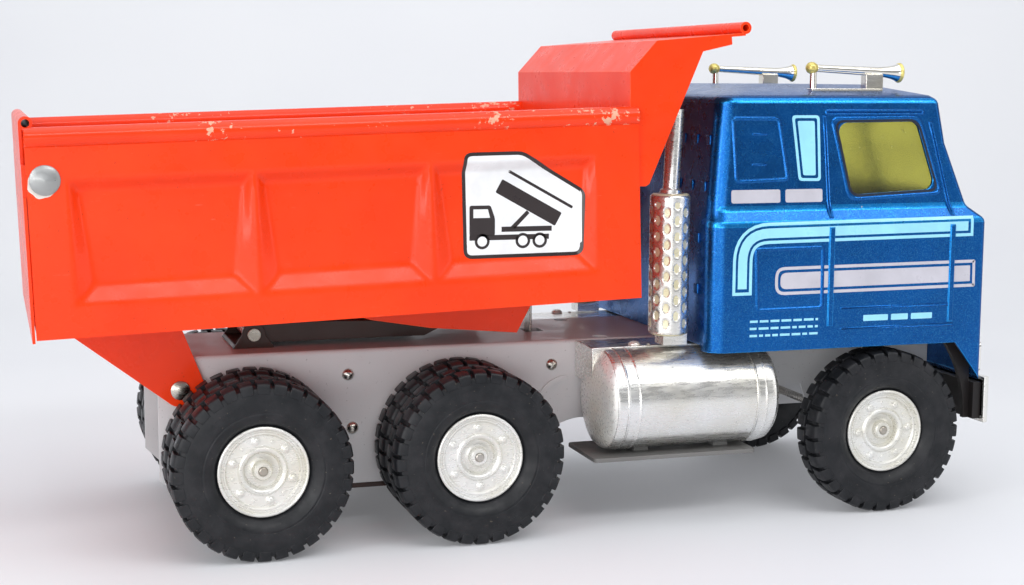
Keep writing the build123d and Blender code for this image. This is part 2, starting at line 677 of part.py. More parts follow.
def cab_solid(inset):
    """The cab's outer shape, pulled in by an inset on every side: lofts from level to level."""
    levels = [cab_ring(cab_low - nose_drop, cab_rear, cab_front, cab_half, inset),
              cab_ring(belt_low, cab_rear, cab_front, cab_half, inset),
              cab_ring(belt_high, cab_rear + 1.5, cab_front - 7.4, cab_half - 3.0, inset),
              cab_ring(visor_z, cab_rear + 4.0, cab_front - 16.9, cab_half - 5.0, inset),
              cab_ring(roof_z - inset, cab_rear + 5.6, cab_front - 19.7, cab_half - 6.6, inset),
              cab_ring(roof_z + 1.8 - inset, cab_rear + 8.0, cab_front - 22.1, cab_half - 9.2, inset),
              cab_ring(crown_z - inset, cab_rear + 26.0, cab_front - 38.7, cab_half - 30.0, inset)]
    return Part() + [Solid.make_loft([wire_of(low), wire_of(high)], ruled=True)
                     for low, high in zip(levels, levels[1:])]


def wire_of(level):
    return level.faces()[0].outer_wire()


cab_outer = cab_solid(0.0)
cab_inner = cab_solid(cab_wall)

screen_low, screen_high, screen_half, post_half = 128.5, 158.0, 56.0, 2.2


with BuildPart() as cab_shell:
    add(cab_outer)
    # the lower side panels stop above the front wheels, and the nose reaches lower
    with BuildSketch(side_plane(-cab_half - 2)):
        with BuildLine():
            Polyline((cab_rear - 5, 40), (cab_rear - 5, cab_low), (172.3, cab_low),
                     (cab_front + 0.6, 51.0), (cab_front + 5, 51.0), (cab_front + 5, 40),
                     close=True)
        make_face()
    extrude(amount=2 * cab_half + 4, mode=Mode.SUBTRACT)
    add(cab_inner, mode=Mode.SUBTRACT)
    # the back wall ends just above the deck
    with BuildSketch(Plane.YZ.offset(cab_rear - 2)):
        with Locations((0, cab_low)):
            Rectangle(2 * (cab_half - 9), 2 * (deck_z - cab_low) + 0.4)
    extrude(amount=6, mode=Mode.SUBTRACT)
    with BuildSketch(side_plane(-cab_half - 2)) as side_openings:
        with BuildLine():
            Polyline((119.0, 156.6), (154.5, 157.0), (162.8, 130.2), (125.4, 128.5), close=True)
        make_face()
        fillet(side_openings.vertices(), 3.8)
    extrude(amount=2 * cab_half + 4, mode=Mode.SUBTRACT)
    with BuildSketch(Plane.YZ.offset(cab_front - 25)) as screen_openings:
        for side in (-1, 1):
            with Locations((side * (screen_half + post_half) / 2, (screen_low + screen_high) / 2)):
                RectangleRounded(screen_half - post_half, screen_high - screen_low, 3.5)
    extrude(amount=30, mode=Mode.SUBTRACT)
    # raised door seams on both sides
    for side in (-1, 1):
        with BuildSketch(side_plane(-side * (cab_half + 0.6))):
            with Locations((115.2, (seam_low + seam_high) / 2),
                           (169.2, (seam_low + seam_high) / 2)):
                Rectangle(2.2, seam_high - seam_low)
        extrude(amount=side * 1.2)
save(cab_shell, "cab_shell")

# one tinted moulding wraps round inside the windscreen and the side windows
glass_outer = cab_solid(cab_wall + 0.05)
glass_inner = cab_solid(cab_wall + 0.05 + pane)
with BuildPart() as glazing:
    with BuildSketch(side_plane(-cab_half)):
        with BuildLine():
            Polyline((112.0, glass_low), (112.0, glass_high), (cab_front, glass_high),
                     (cab_front, glass_low), close=True)
        make_face()
    extrude(amount=2 * cab_half)
    add(glass_outer, mode=Mode.INTERSECT)
    add(glass_inner, mode=Mode.SUBTRACT)
save(glazing, "glazing")

floor_inset = cab_wall + 0.1
with BuildPart() as cab_interior:
    with BuildSketch(Plane.XY.offset(deck_z)):
        with Locations(((cab_rear + cab_front) / 2, 0)):
            RectangleRounded(cab_front - cab_rear - 2 * floor_inset, 2 * (cab_half - floor_inset), 5.4)
    extrude(amount=cab_floor)
    floor_top = deck_z + cab_floor
    # two thin-walled seats, open below
    for side in (-1, 1):
        with BuildSketch(side_plane(-side * seat_face)):
            with BuildLine():
                Polyline((114.0, floor_top), (114.0, 88.0), (94.0, 86.0), (88.0, 116.0),
                         (82.0, 115.0), (86.0, floor_top), (90.0, floor_top),
                         (90.0, 81.0), (111.0, 83.0), (111.0, floor_top), close=True)
            make_face()
        extrude(amount=side * seat_width)
    # dashboard
    with BuildSketch(side_plane(-dash_half)):
        with BuildLine():
            Polyline((172.0, floor_top), (172.0, 116.0), (158.0, 119.0), (154.0, 104.0),
                     (156.5, 104.0), (160.0, 116.0), (169.5, 113.5), (169.5, floor_top),
                     close=True)
        make_face()
    extrude(amount=2 * dash_half)
save(cab_interior, "cab_interior")

grille_half, grille_low, grille_high, grille_depth = 46.0, 74.0, 114.0, 1.4
slot_count, slot_pitch, slot_height = 8, 4.4, 2.6
with BuildPart() as grille:
    with BuildSketch(Plane.YZ.offset(cab_front)):
        with Locations((0, (grille_low + grille_high) / 2)):
            RectangleRounded(2 * grille_half, grille_high - grille_low, 4.0)
    extrude(amount=grille_depth)
    with BuildSketch(Plane.YZ.offset(cab_front + 0.5)):
        with Locations((0, (grille_low + grille_high) / 2)):
            with GridLocations(0, slot_pitch, 1, slot_count):
                Rectangle(2 * grille_half - 8, slot_height)
    extrude(amount=grille_depth, mode=Mode.SUBTRACT)
save(grille, "grille")

lamp_y, lamp_z, lamp_size, lamp_spacing = 53.0, 61.0, 9.6, 11.2
bezel_depth, lamp_seat = 1.8, 0.6


def lamp_squares():
    """Two square lamps side by side in each bezel."""
    for side in (-1, 1):
        with Locations((side * lamp_y, lamp_z)):
            with GridLocations(lamp_spacing, 0, 2, 1):
                RectangleRounded(lamp_size, lamp_size, 1.2)


with BuildPart() as headlight_bezels:
    with BuildSketch(Plane.YZ.offset(cab_front)):
        with Locations((lamp_y, lamp_z), (-lamp_y, lamp_z)):
            RectangleRounded(24.0, 13.0, 2.5)
    extrude(amount=bezel_depth)
    with BuildSketch(Plane.YZ.offset(cab_front + lamp_seat)):
        lamp_squares()
    extrude(amount=bezel_depth - lamp_seat, mode=Mode.SUBTRACT)
save(headlight_bezels, "headlight_bezels")

with BuildPart() as headlight_lenses:
    with BuildSketch(Plane.YZ.offset(cab_front + lamp_seat)):
        lamp_squares()
    extrude(amount=1.5)
save(headlight_lenses, "headlight_lenses")

# ---------------------------------------------------------------- bumper
with BuildPart() as bumper:
    with BuildSketch(Plane.XY.offset(bumper_low)):
        with Locations((bumper_front - 3.0, 0)):
            RectangleRounded(6.0, 2 * bumper_half, 2.0)
    extrude(amount=bumper_high - bumper_low)
    with BuildSketch(Plane.XY.offset(bumper_low + bumper_sheet)):
        with Locations((bumper_front - 6.0, 0)):
            Rectangle(9.0, 2 * bumper_half - 3.0)
    extrude(amount=bumper_high - bumper_low - 2 * bumper_sheet, mode=Mode.SUBTRACT)
    with BuildSketch(Plane.XY.offset(bumper_low - 1)):
        with Locations((bumper_front - 5.5, 0)):
            Rectangle(5.2, 2 * bumper_half + 2)
    extrude(amount=bumper_high - bumper_low + 2, mode=Mode.SUBTRACT)
save(bumper, "bumper")

backing_x, bumper_back = cab_front - cab_wall - 0.2, bumper_front - 2.9
backing_low, cheek_top = bumper_low + bumper_sheet, cab_low - 0.4
with BuildPart() as bumper_backing:
    with BuildSketch(Plane.YZ.offset(frame_front + 0.1)):
        with Locations((0, (backing_low + backing_high) / 2)):
            Rectangle(2 * bumper_half - 5, backing_high - backing_low)
    extrude(amount=bumper_back - frame_front - 0.1)
    for side in (-1, 1):
        with BuildSketch(side_plane(-side * (cab_half - cab_wall - 4.3))):
            with BuildLine():
                Polyline((bumper_back, backing_high), (backing_x, backing_high),
                         (backing_x, cheek_top), (170.8, cheek_top))
                ThreePointArc((170.8, cheek_top), (178.6, 52.0), (180.8, backing_low))
                Polyline((180.8, backing_low), (bumper_back, backing_low),
                         (bumper_back, backing_high))
            make_face()
        extrude(amount=side * 2.2)
save(bumper_backing, "bumper_backing")

# ---------------------------------------------------------------- tanks, steps, stacks, horns
for side_name, side in sides:
    with BuildPart() as fuel_tank:
        with BuildSketch(Plane.YZ.offset(tank_rear)):
            with Locations((side * tank_y, tank_z)):
                Circle(tank_radius)
        extrude(amount=tank_front - tank_rear)
        fillet(fuel_tank.edges().filter_by(GeomType.CIRCLE), 2.5)
        # saddle that carries the tank from the frame's top edge
        with BuildSketch(Plane.XY.offset(deck_z - saddle_depth)):
            with Locations(((tank_rear + tank_front) / 2, side * (frame_half + 10.0))):
                Rectangle(tank_front - tank_rear, 20.0)
        extrude(amount=saddle_depth - 0.2)
        for band_x in (33.0, 86.5, 92.8):
            with BuildSketch(Plane.YZ.offset(band_x - 2.4)):
                with Locations((side * tank_y, tank_z)):
                    Circle(tank_radius + band_proud)
            extrude(amount=4.8 if band_x < 90 else 2.6)
        with BuildSketch(Plane.XY.offset(10)):
            with Locations(((tank_rear + tank_front) / 2, side * frame_half / 2)):
                Rectangle(100, frame_half)
        extrude(amount=70, mode=Mode.SUBTRACT)
    save(fuel_tank, f"fuel_tank_{side_name}")

    with BuildPart() as step:
        with BuildSketch(Plane.XY.offset(step_low)):
            with Locations((53.0, side * 47.0)):
                Rectangle(step_length, step_width)
        extrude(amount=step_sheet)
        fillet(step.edges().filter_by(Axis.Z), 2.0)
        hang_top = tank_z - sqrt(tank_radius ** 2 - (post_width / 2) ** 2)
        with BuildSketch(Plane.XY.offset(step_low)):
            with Locations(*[(x, side * tank_y) for x in post_x]):
                Rectangle(post_length, post_width)
        extrude(amount=hang_top + 0.3 - step_low)
        with BuildSketch(Plane.YZ.offset(0)):
            with Locations((side * tank_y, tank_z)):
                Circle(tank_radius)
        extrude(amount=100, mode=Mode.SUBTRACT)
    save(step, f"step_{side_name}")

    with BuildPart() as stack:
        with BuildSketch(Plane.XY.offset(muffler_low)):
            with Locations((stack_x, side * stack_y)):
                Circle(muffler_radius)
        extrude(amount=muffler_high - muffler_low)
        fillet(stack.edges().filter_by(GeomType.CIRCLE), 1.8)
        with BuildSketch(Plane.XY.offset(deck_z)):
            with Locations((stack_x + 1.5, side * (stack_y - 0.5))):
                RectangleRounded(10.0, 9.0, 1.5)
        extrude(amount=6.0)
        pipe = Plane(origin=(stack_x, side * stack_y, pipe_low), x_dir=(1, 0, 0),
                     z_dir=(0.05, 0, 1))
        with BuildSketch(pipe):
            Circle(pipe_radius)
        extrude(amount=pipe_length)
        with BuildSketch(pipe.offset(10)):
            Circle(pipe_bore)
        extrude(amount=pipe_length, mode=Mode.SUBTRACT)
    save(stack, f"exhaust_stack_{side_name}")

    with BuildPart() as horn:
        horn_origin, horn_way = (horn_x, side * horn_y, horn_z), (1, 0, horn_dip)
        with BuildSketch(Plane(origin=horn_origin, x_dir=horn_way, z_dir=(0, -1, 0))):
            with BuildLine():
                ThreePointArc((-2.6, 0), (-1.6, 2.4), (0.6, 2.4))
                Line((0.6, 2.4), (2.0, 1.5))
                Line((2.0, 1.5), (30.0, 1.9))
                Spline((30.0, 1.9), (35.5, 2.6), (38.9, 4.0))
                Polyline((38.9, 4.0), (39.8, 4.0), (39.8, 3.2), (37.0, 1.6), (37.0, 0),
                         (-2.6, 0))
            make_face()
        revolve(axis=Axis(horn_origin, horn_way))
        # posts and base plate, cut off by the roof
        with BuildSketch(Plane.XY.offset(horn_foot)):
            with Locations((horn_x + 0.6, side * horn_y)):
                Circle(1.5)
            with Locations((horn_x + 27.0, side * horn_y)):
                RectangleRounded(8.0, 5.0, 1.0)
        extrude(amount=11.0)
        with BuildSketch(Plane.XY.offset(horn_foot)):
            with Locations((horn_x + 14.0, side * horn_y)):
                RectangleRounded(32.0, 8.0, 2.0)
        extrude(amount=4.4)
        add(cab_outer, mode=Mode.SUBTRACT)
    save(horn, f"air_horn_{side_name}")
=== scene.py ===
import json
import math
import random

import bmesh
import bpy
from mathutils import Matrix, Vector

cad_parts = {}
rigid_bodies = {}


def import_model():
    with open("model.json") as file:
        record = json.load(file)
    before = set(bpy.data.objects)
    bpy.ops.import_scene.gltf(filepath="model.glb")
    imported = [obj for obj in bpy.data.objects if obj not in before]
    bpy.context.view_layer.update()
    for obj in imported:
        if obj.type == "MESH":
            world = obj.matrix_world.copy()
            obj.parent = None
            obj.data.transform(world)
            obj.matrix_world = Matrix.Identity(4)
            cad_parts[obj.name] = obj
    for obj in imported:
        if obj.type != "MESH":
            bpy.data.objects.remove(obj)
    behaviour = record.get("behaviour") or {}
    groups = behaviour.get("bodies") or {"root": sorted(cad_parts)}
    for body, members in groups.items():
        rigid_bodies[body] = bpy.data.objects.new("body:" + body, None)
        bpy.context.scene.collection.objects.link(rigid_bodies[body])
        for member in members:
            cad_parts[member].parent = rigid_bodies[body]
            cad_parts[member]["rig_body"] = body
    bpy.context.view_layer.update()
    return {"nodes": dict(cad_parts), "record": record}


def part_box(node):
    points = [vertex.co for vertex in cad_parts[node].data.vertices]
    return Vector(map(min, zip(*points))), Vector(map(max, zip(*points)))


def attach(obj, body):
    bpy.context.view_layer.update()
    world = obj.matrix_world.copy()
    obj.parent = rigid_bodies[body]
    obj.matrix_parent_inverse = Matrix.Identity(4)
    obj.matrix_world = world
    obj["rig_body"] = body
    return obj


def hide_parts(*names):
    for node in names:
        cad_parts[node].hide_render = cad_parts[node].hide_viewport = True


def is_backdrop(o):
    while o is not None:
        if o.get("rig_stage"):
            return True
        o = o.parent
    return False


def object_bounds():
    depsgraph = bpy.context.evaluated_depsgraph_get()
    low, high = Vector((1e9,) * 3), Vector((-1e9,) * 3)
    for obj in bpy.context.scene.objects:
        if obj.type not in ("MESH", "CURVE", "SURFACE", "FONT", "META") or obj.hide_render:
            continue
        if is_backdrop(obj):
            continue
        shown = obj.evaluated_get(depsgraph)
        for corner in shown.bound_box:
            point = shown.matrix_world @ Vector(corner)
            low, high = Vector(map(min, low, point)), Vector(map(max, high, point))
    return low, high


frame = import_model()
record = frame["record"]
node_slot = {s["node"]: s["material_slot"] for s in record["subparts"]}
MM = 0.001


# ---------------------------------------------------------------- material helpers
def start(name, **values):
    """A new material and its Principled shader, with plain values on the sockets."""
    material = bpy.data.materials.new(name)
    material.use_nodes = True
    tree = material.node_tree
    tree.nodes.clear()
    shader = tree.nodes.new("ShaderNodeBsdfPrincipled")
    out = tree.nodes.new("ShaderNodeOutputMaterial")
    tree.links.new(shader.outputs[0], out.inputs["Surface"])
    for key, value in values.items():
        shader.inputs[key.replace("_", " ")].default_value = value
    return material, tree, shader


def place(tree, stretch=(1, 1, 1)):
    """Object coordinates, stretched along the axes."""
    coords = tree.nodes.new("ShaderNodeTexCoord")
    mapping = tree.nodes.new("ShaderNodeMapping")
    mapping.inputs["Scale"].default_value = stretch
    tree.links.new(coords.outputs["Object"], mapping.inputs["Vector"])
    return mapping.outputs[0]


def noise(tree, where, scale, detail=3.0, rough=0.55):
    node = tree.nodes.new("ShaderNodeTexNoise")
    node.inputs["Scale"].default_value = scale
    node.inputs["Detail"].default_value = detail
    node.inputs["Roughness"].default_value = rough
    tree.links.new(where, node.inputs["Vector"])
    return node.outputs["Fac"]


def cells(tree, where, scale):
    node = tree.nodes.new("ShaderNodeTexVoronoi")
    node.inputs["Scale"].default_value = scale
    tree.links.new(where, node.inputs["Vector"])
    return node


def spread(tree, value, low, high, to_low=0.0, to_high=1.0):
    """Maps low..high of a value to to_low..to_high, clamped."""
    node = tree.nodes.new("ShaderNodeMapRange")
    for name, number in zip(("From Min", "From Max", "To Min", "To Max"),
                            (low, high, to_low, to_high)):
        node.inputs[name].default_value = number
    tree.links.new(value, node.inputs["Value"])
    return node.outputs[0]


def maths(tree, kind, first, second):
    node = tree.nodes.new("ShaderNodeMath")
    node.operation = kind
    for index, value in enumerate((first, second)):
        if isinstance(value, (int, float)):
            node.inputs[index].default_value = value
        else:
            tree.links.new(value, node.inputs[index])
    return node.outputs[0]


def blend(tree, factor, first, second):
    """Mixes two colours, given as sockets or as numbers."""
    node = tree.nodes.new("ShaderNodeMix")
    node.data_type = "RGBA"
    tree.links.new(factor, node.inputs["Factor"])
    for socket, value in ((node.inputs[6], first), (node.inputs[7], second)):
        if isinstance(value, tuple):
            socket.default_value = (*value, 1.0)
        else:
            tree.links.new(value, socket)
    return node.outputs[2]


def bump(tree, shader, height, strength, distance):
    node = tree.nodes.new("ShaderNodeBump")
    node.inputs["Strength"].default_value = strength
    node.inputs["Distance"].default_value = distance * MM
    tree.links.new(height, node.inputs["Height"])
    tree.links.new(node.outputs[0], shader.inputs["Normal"])


def band(tree, axis, low, high, soft=2.0):
    """1 where a coordinate, in millimetres, lies between low and high."""
    split = tree.nodes.new("ShaderNodeSeparateXYZ")
    tree.links.new(place(tree), split.inputs[0])
    value = split.outputs["XYZ".index(axis)]
    rise = spread(tree, value, (low - soft) * MM, (low + soft) * MM)
    fall = spread(tree, value, (high - soft) * MM, (high + soft) * MM, 1.0, 0.0)
    return maths(tree, "MULTIPLY", rise, fall)


# ---------------------------------------------------------------- materials
def enamel(name, colour, shade, chip, wear, rough=0.28, coat=0.12):
    """Baked gloss paint: slow colour drift, fine scratches, dirt specks and chips to the primer."""
    material, tree, shader = start(name, Coat_Weight=coat, Coat_Roughness=0.08,
                                   Specular_IOR_Level=0.25)
    where = place(tree)
    drift = spread(tree, noise(tree, where, 28), 0.3, 0.7)
    base = blend(tree, drift, colour, shade)
    specks = spread(tree, noise(tree, where, 900, 2), 0.70, 0.76)
    base = blend(tree, maths(tree, "MULTIPLY", specks, 0.5), base, tuple(c * 0.25 for c in colour))
    long_scratch = noise(tree, place(tree, (0.12, 1, 1.6)), 1500, 2, 0.7)
    scratches = maths(tree, "MULTIPLY", spread(tree, long_scratch, 0.71, 0.75),
                      spread(tree, noise(tree, where, 60), 0.48, 0.62))
    base = blend(tree, maths(tree, "MULTIPLY", scratches, 0.45), base, chip)
    ragged = maths(tree, "ADD", maths(tree, "MULTIPLY", noise(tree, where, 420, 5, 0.7), 0.6),
                   maths(tree, "MULTIPLY", noise(tree, where, 70, 2), 0.4))
    chips = spread(tree, ragged, wear, wear + 0.012)
    base = blend(tree, chips, base, chip)
    tree.links.new(base, shader.inputs["Base Color"])
    smears = spread(tree, noise(tree, where, 120, 4), 0.3, 0.8, rough - 0.05, rough + 0.16)
    worn = maths(tree, "ADD", smears, maths(tree, "MULTIPLY", chips, 0.3))
    tree.links.new(worn, shader.inputs["Roughness"])
    ripple = noise(tree, where, 260, 2)
    height = maths(tree, "SUBTRACT", maths(tree, "MULTIPLY", ripple, 0.25), chips)
    bump(tree, shader, height, 0.35, 0.08)
    return material


def rim_paint():
    """The bed's top rails: the same red, with pale chips where it has been knocked."""
    material, tree, shader = start("bed_rim_red", Coat_Weight=0.12, Specular_IOR_Level=0.3)
    where = place(tree)
    base = blend(tree, spread(tree, noise(tree, where, 30), 0.3, 0.7),
                 (0.88, 0.045, 0.004), (0.78, 0.036, 0.003))
    knocked = maths(tree, "MAXIMUM", band(tree, "X", -29, -16, 5), band(tree, "X", 4, 34, 8))
    knocked = maths(tree, "MAXIMUM", knocked, band(tree, "X", -132, -118, 6))
    threshold = maths(tree, "SUBTRACT", noise(tree, where, 330, 5, 0.7),
                      maths(tree, "SUBTRACT", 0.67, maths(tree, "MULTIPLY", knocked, 0.12)))
    chips = spread(tree, threshold, 0.0, 0.012)
    base = blend(tree, chips, base, (0.70, 0.36, 0.24))
    tree.links.new(base, shader.inputs["Base Color"])
    tree.links.new(spread(tree, chips, 0, 1, 0.24, 0.55), shader.inputs["Roughness"])
    bump(tree, shader, chips, -0.4, 0.08)
    return material


def flake(name, deep, bright, chip, wear):
    """Metallic flake enamel: bright specks in a deep blue base under clear lacquer."""
    material, tree, shader = start(name, Metallic=0.93, Coat_Weight=0.13, Coat_Roughness=0.08)
    where = place(tree)
    speck = cells(tree, where, 5200)
    value = tree.nodes.new("ShaderNodeSeparateColor")
    tree.links.new(speck.outputs["Color"], value.inputs[0])
    base = blend(tree, spread(tree, noise(tree, where, 35), 0.3, 0.7), deep,
                 tuple(c * 1.25 for c in deep))
    base = blend(tree, spread(tree, value.outputs[0], 0.72, 1.0, 0.0, 0.34), base, bright)
    ragged = maths(tree, "ADD", maths(tree, "MULTIPLY", noise(tree, where, 380, 5, 0.7), 0.6),
                   maths(tree, "MULTIPLY", noise(tree, where, 80, 2), 0.4))
    chips = spread(tree, ragged, wear, wear + 0.012)
    base = blend(tree, chips, base, chip)
    tree.links.new(base, shader.inputs["Base Color"])
    tree.links.new(spread(tree, noise(tree, where, 150, 3), 0.3, 0.8, 0.24, 0.34),
                   shader.inputs["Roughness"])
    height = maths(tree, "ADD", maths(tree, "MULTIPLY", value.outputs[1], 0.5),
                   maths(tree, "MULTIPLY", chips, -1.5))
    bump(tree, shader, height, 0.28, 0.05)
    return material


def plating(name, colour, yellow, rough, pits=0.66, metal=1.0):
    """Vacuum plating or bare steel: brushed streaks, yellowed patches and dark pits."""
    material, tree, shader = start(name, Metallic=metal)
    where = place(tree)
    aged = spread(tree, noise(tree, where, 45, 4), 0.38, 0.66)
    base = blend(tree, aged, colour, yellow)
    pitted = spread(tree, noise(tree, where, 700, 4, 0.7), pits, pits + 0.04)
    base = blend(tree, maths(tree, "MULTIPLY", pitted, 0.8), base, (0.05, 0.04, 0.03))
    tree.links.new(base, shader.inputs["Base Color"])
    streak = noise(tree, place(tree, (0.15, 1, 1)), 900, 3)
    tree.links.new(spread(tree, streak, 0.3, 0.75, rough * 0.7, rough * 1.7),
                   shader.inputs["Roughness"])
    height = maths(tree, "SUBTRACT", maths(tree, "MULTIPLY", noise(tree, where, 160, 3), 0.5),
                   pitted)
    bump(tree, shader, height, 0.3, 0.09)
    return material


def rubber(name):
    material, tree, shader = start(name, Specular_IOR_Level=0.3)
    where = place(tree)
    dusty = spread(tree, noise(tree, where, 130, 5, 0.65), 0.42, 0.72)
    base = blend(tree, dusty, (0.008, 0.009, 0.011), (0.022, 0.022, 0.025))
    specks = spread(tree, noise(tree, where, 800, 3), 0.70, 0.74)
    base = blend(tree, maths(tree, "MULTIPLY", specks, 0.55), base, (0.16, 0.13, 0.10))
    tree.links.new(base, shader.inputs["Base Color"])
    tree.links.new(spread(tree, noise(tree, where, 210, 4), 0.3, 0.75, 0.32, 0.56),
                   shader.inputs["Roughness"])
    bump(tree, shader, noise(tree, where, 420, 4), 0.25, 0.12)
    return material


def printed(name, colour, wear=0.70):
    """Thin printed colour or film, slightly rubbed."""
    material, tree, shader = start(name, Coat_Weight=0.3, Coat_Roughness=0.15)
    where = place(tree)
    base = blend(tree, spread(tree, noise(tree, where, 90, 4), 0.35, 0.7), colour,
                 tuple(c * 0.86 for c in colour))
    rubbed = spread(tree, noise(tree, where, 520, 5, 0.7), wear, wear + 0.03)
    base = blend(tree, maths(tree, "MULTIPLY", rubbed, 0.6), base, (0.05, 0.10, 0.18))
    tree.links.new(base, shader.inputs["Base Color"])
    tree.links.new(spread(tree, noise(tree, where, 180), 0.3, 0.7, 0.25, 0.4),
                   shader.inputs["Roughness"])
    bump(tree, shader, noise(tree, where, 300), 0.1, 0.03)
    return material


def plastic(name, colour, rough, clear=0.0):
    material, tree, shader = start(name, Transmission_Weight=clear, IOR=1.45)
    where = place(tree)
    base = blend(tree, spread(tree, noise(tree, where, 60, 4), 0.35, 0.7), colour,
                 tuple(c * 0.88 for c in colour))
    tree.links.new(base, shader.inputs["Base Color"])
    tree.links.new(spread(tree, noise(tree, where, 240, 4), 0.3, 0.75, rough, rough + 0.08),
                   shader.inputs["Roughness"])
    bump(tree, shader, noise(tree, where, 200, 3), 0.12, 0.05)
    return material


primer = (0.62, 0.30, 0.20)
red = enamel("bed_red", (0.90, 0.048, 0.003), (0.82, 0.038, 0.002), primer, 0.700)
# The second bed red, put on bevels and the sheet's cut edges, is paler and brighter: a painted highlight, with more
# chips to a pale primer for real edge wear.
red_highlight_and_chips = enamel("bed_red_highlight_and_chips", (0.95, 0.10, 0.025), (0.88, 0.08, 0.018), (0.74, 0.42, 0.30), 0.59)
red_rim = rim_paint()
blue = flake("cab_blue", (0.002, 0.078, 0.30), (0.10, 0.50, 0.85), (0.22, 0.22, 0.22), 0.705)
# The second cab blue, put on bevelled edges and creases, is lighter with brighter flakes: a painted highlight, with
# extra pale chips for real edge wear.
blue_highlight_and_chips = flake("cab_blue_highlight_and_chips", (0.006, 0.20, 0.56), (0.2, 0.72, 1.0), (0.45, 0.44, 0.42), 0.64)
grey = enamel("chassis_grey", (0.66, 0.66, 0.67), (0.58, 0.58, 0.59), (0.10, 0.08, 0.06), 0.690, 0.36, 0.1)
grey_edge = enamel("chassis_grey_edge", (0.64, 0.64, 0.65), (0.56, 0.56, 0.57), (0.16, 0.11, 0.07), 0.62, 0.36, 0.1)
# The steps get a grey far darker than the chassis grey they are painted in: painted shade for the shadow they lie
# in.
step_grey_painted_shade = enamel("step_grey_painted_shade", (0.19, 0.19, 0.185), (0.14, 0.135, 0.13), (0.06, 0.04, 0.03), 0.66, 0.36, 0.1)
# The dark steel parts are near-black steel tinted maroon: the red tint is a painted reflection of the red bed above
# them.
brown_reflecting_red = enamel("dark_brown", (0.030, 0.014, 0.011), (0.045, 0.022, 0.016), (0.20, 0.16, 0.13), 0.675, 0.38, 0.2)
black = enamel("underside_black", (0.010, 0.009, 0.010), (0.018, 0.014, 0.012), (0.10, 0.07, 0.05), 0.68, 0.4, 0.1)
steel = plating("pin_steel", (0.55, 0.53, 0.50), (0.42, 0.38, 0.32), 0.26)
chrome = plating("plated_plastic", (0.86, 0.85, 0.82), (0.80, 0.76, 0.66), 0.14, 0.685)
cream = plating("yellowed_plating", (0.78, 0.78, 0.765), (0.70, 0.68, 0.60), 0.28, 0.72, 0.5)
cloudy = plating("clouded_plating", (0.82, 0.82, 0.81), (0.74, 0.72, 0.66), 0.25, 0.66, 0.9)
rivet_grey = plating("rivet_grey", (0.36, 0.37, 0.37), (0.30, 0.30, 0.29), 0.36, 0.72, 0.6)
gold = plating("aged_lacquer", (0.80, 0.68, 0.22), (0.66, 0.54, 0.16), 0.24, 0.69, 0.45)
straw = plating("straw_lacquer", (0.80, 0.76, 0.56), (0.70, 0.64, 0.42), 0.34, 0.70, 0.4)
tyre_rubber = rubber("tyre_rubber")
seat_plastic = plastic("interior_dark", (0.035, 0.035, 0.04), 0.5)
olive = plastic("olive_window", (0.84, 0.82, 0.33), 0.20, 1.0)
lamp = plastic("lamp_clear", (0.92, 0.92, 0.88), 0.05, 0.85)
gasket = printed("window_gasket", (0.006, 0.012, 0.03))
sky_print = printed("print_sky_blue", (0.31, 0.72, 0.90))
pale_print = printed("print_pale_grey", (0.53, 0.52, 0.58))
white_film = printed("decal_white", (0.82, 0.83, 0.84), 0.73)
black_film = printed("decal_black", (0.022, 0.014, 0.014), 0.76)

# The second finish of each slot goes on bevelled edges. The bed's and cab's are lighter copies of their paint:
# painted highlights along the edges.
finish_of = {"bed_paint": (red, red_highlight_and_chips), "cab_paint": (blue, blue_highlight_and_chips),
             "chassis_paint": (grey, grey_edge), "dark_steel": (brown_reflecting_red, brown_reflecting_red),
             "steel_pin": (steel, steel), "chrome_plastic": (chrome, cream),
             "tyre_black": (tyre_rubber, tyre_rubber), "underside_black": (black, black),
             "interior_plastic": (seat_plastic, seat_plastic), "tinted_glass": (olive, olive),
             "lamp_glass": (lamp, lamp)}


# ---------------------------------------------------------------- mesh helpers, millimetres
def finish_piece(name, mesh, body, materials, replaces=(), angle=34):
    """Turns a mesh in millimetres or metres already scaled into a riding, shaded piece."""
    for material in materials:
        mesh.materials.append(material)
    mesh.shade_smooth()
    mesh.set_sharp_from_angle(angle=math.radians(angle))
    piece = bpy.data.objects.new(name, mesh)
    bpy.context.scene.collection.objects.link(piece)
    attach(piece, body)
    if replaces:
        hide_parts(*replaces)
    return piece


def soften(piece, width, segments=2, weighted=False, material=-1, clamp=True):
    """Rounds the sharp edges with a bevel of a width in millimetres."""
    bevel = piece.modifiers.new("soft_edges", "BEVEL")
    bevel.width = width * MM
    bevel.segments = segments
    bevel.limit_method = "WEIGHT" if weighted else "ANGLE"
    bevel.angle_limit = math.radians(30)
    bevel.use_clamp_overlap = clamp
    bevel.material = material
    even = piece.modifiers.new("even_normals", "WEIGHTED_NORMAL")
    even.keep_sharp = True


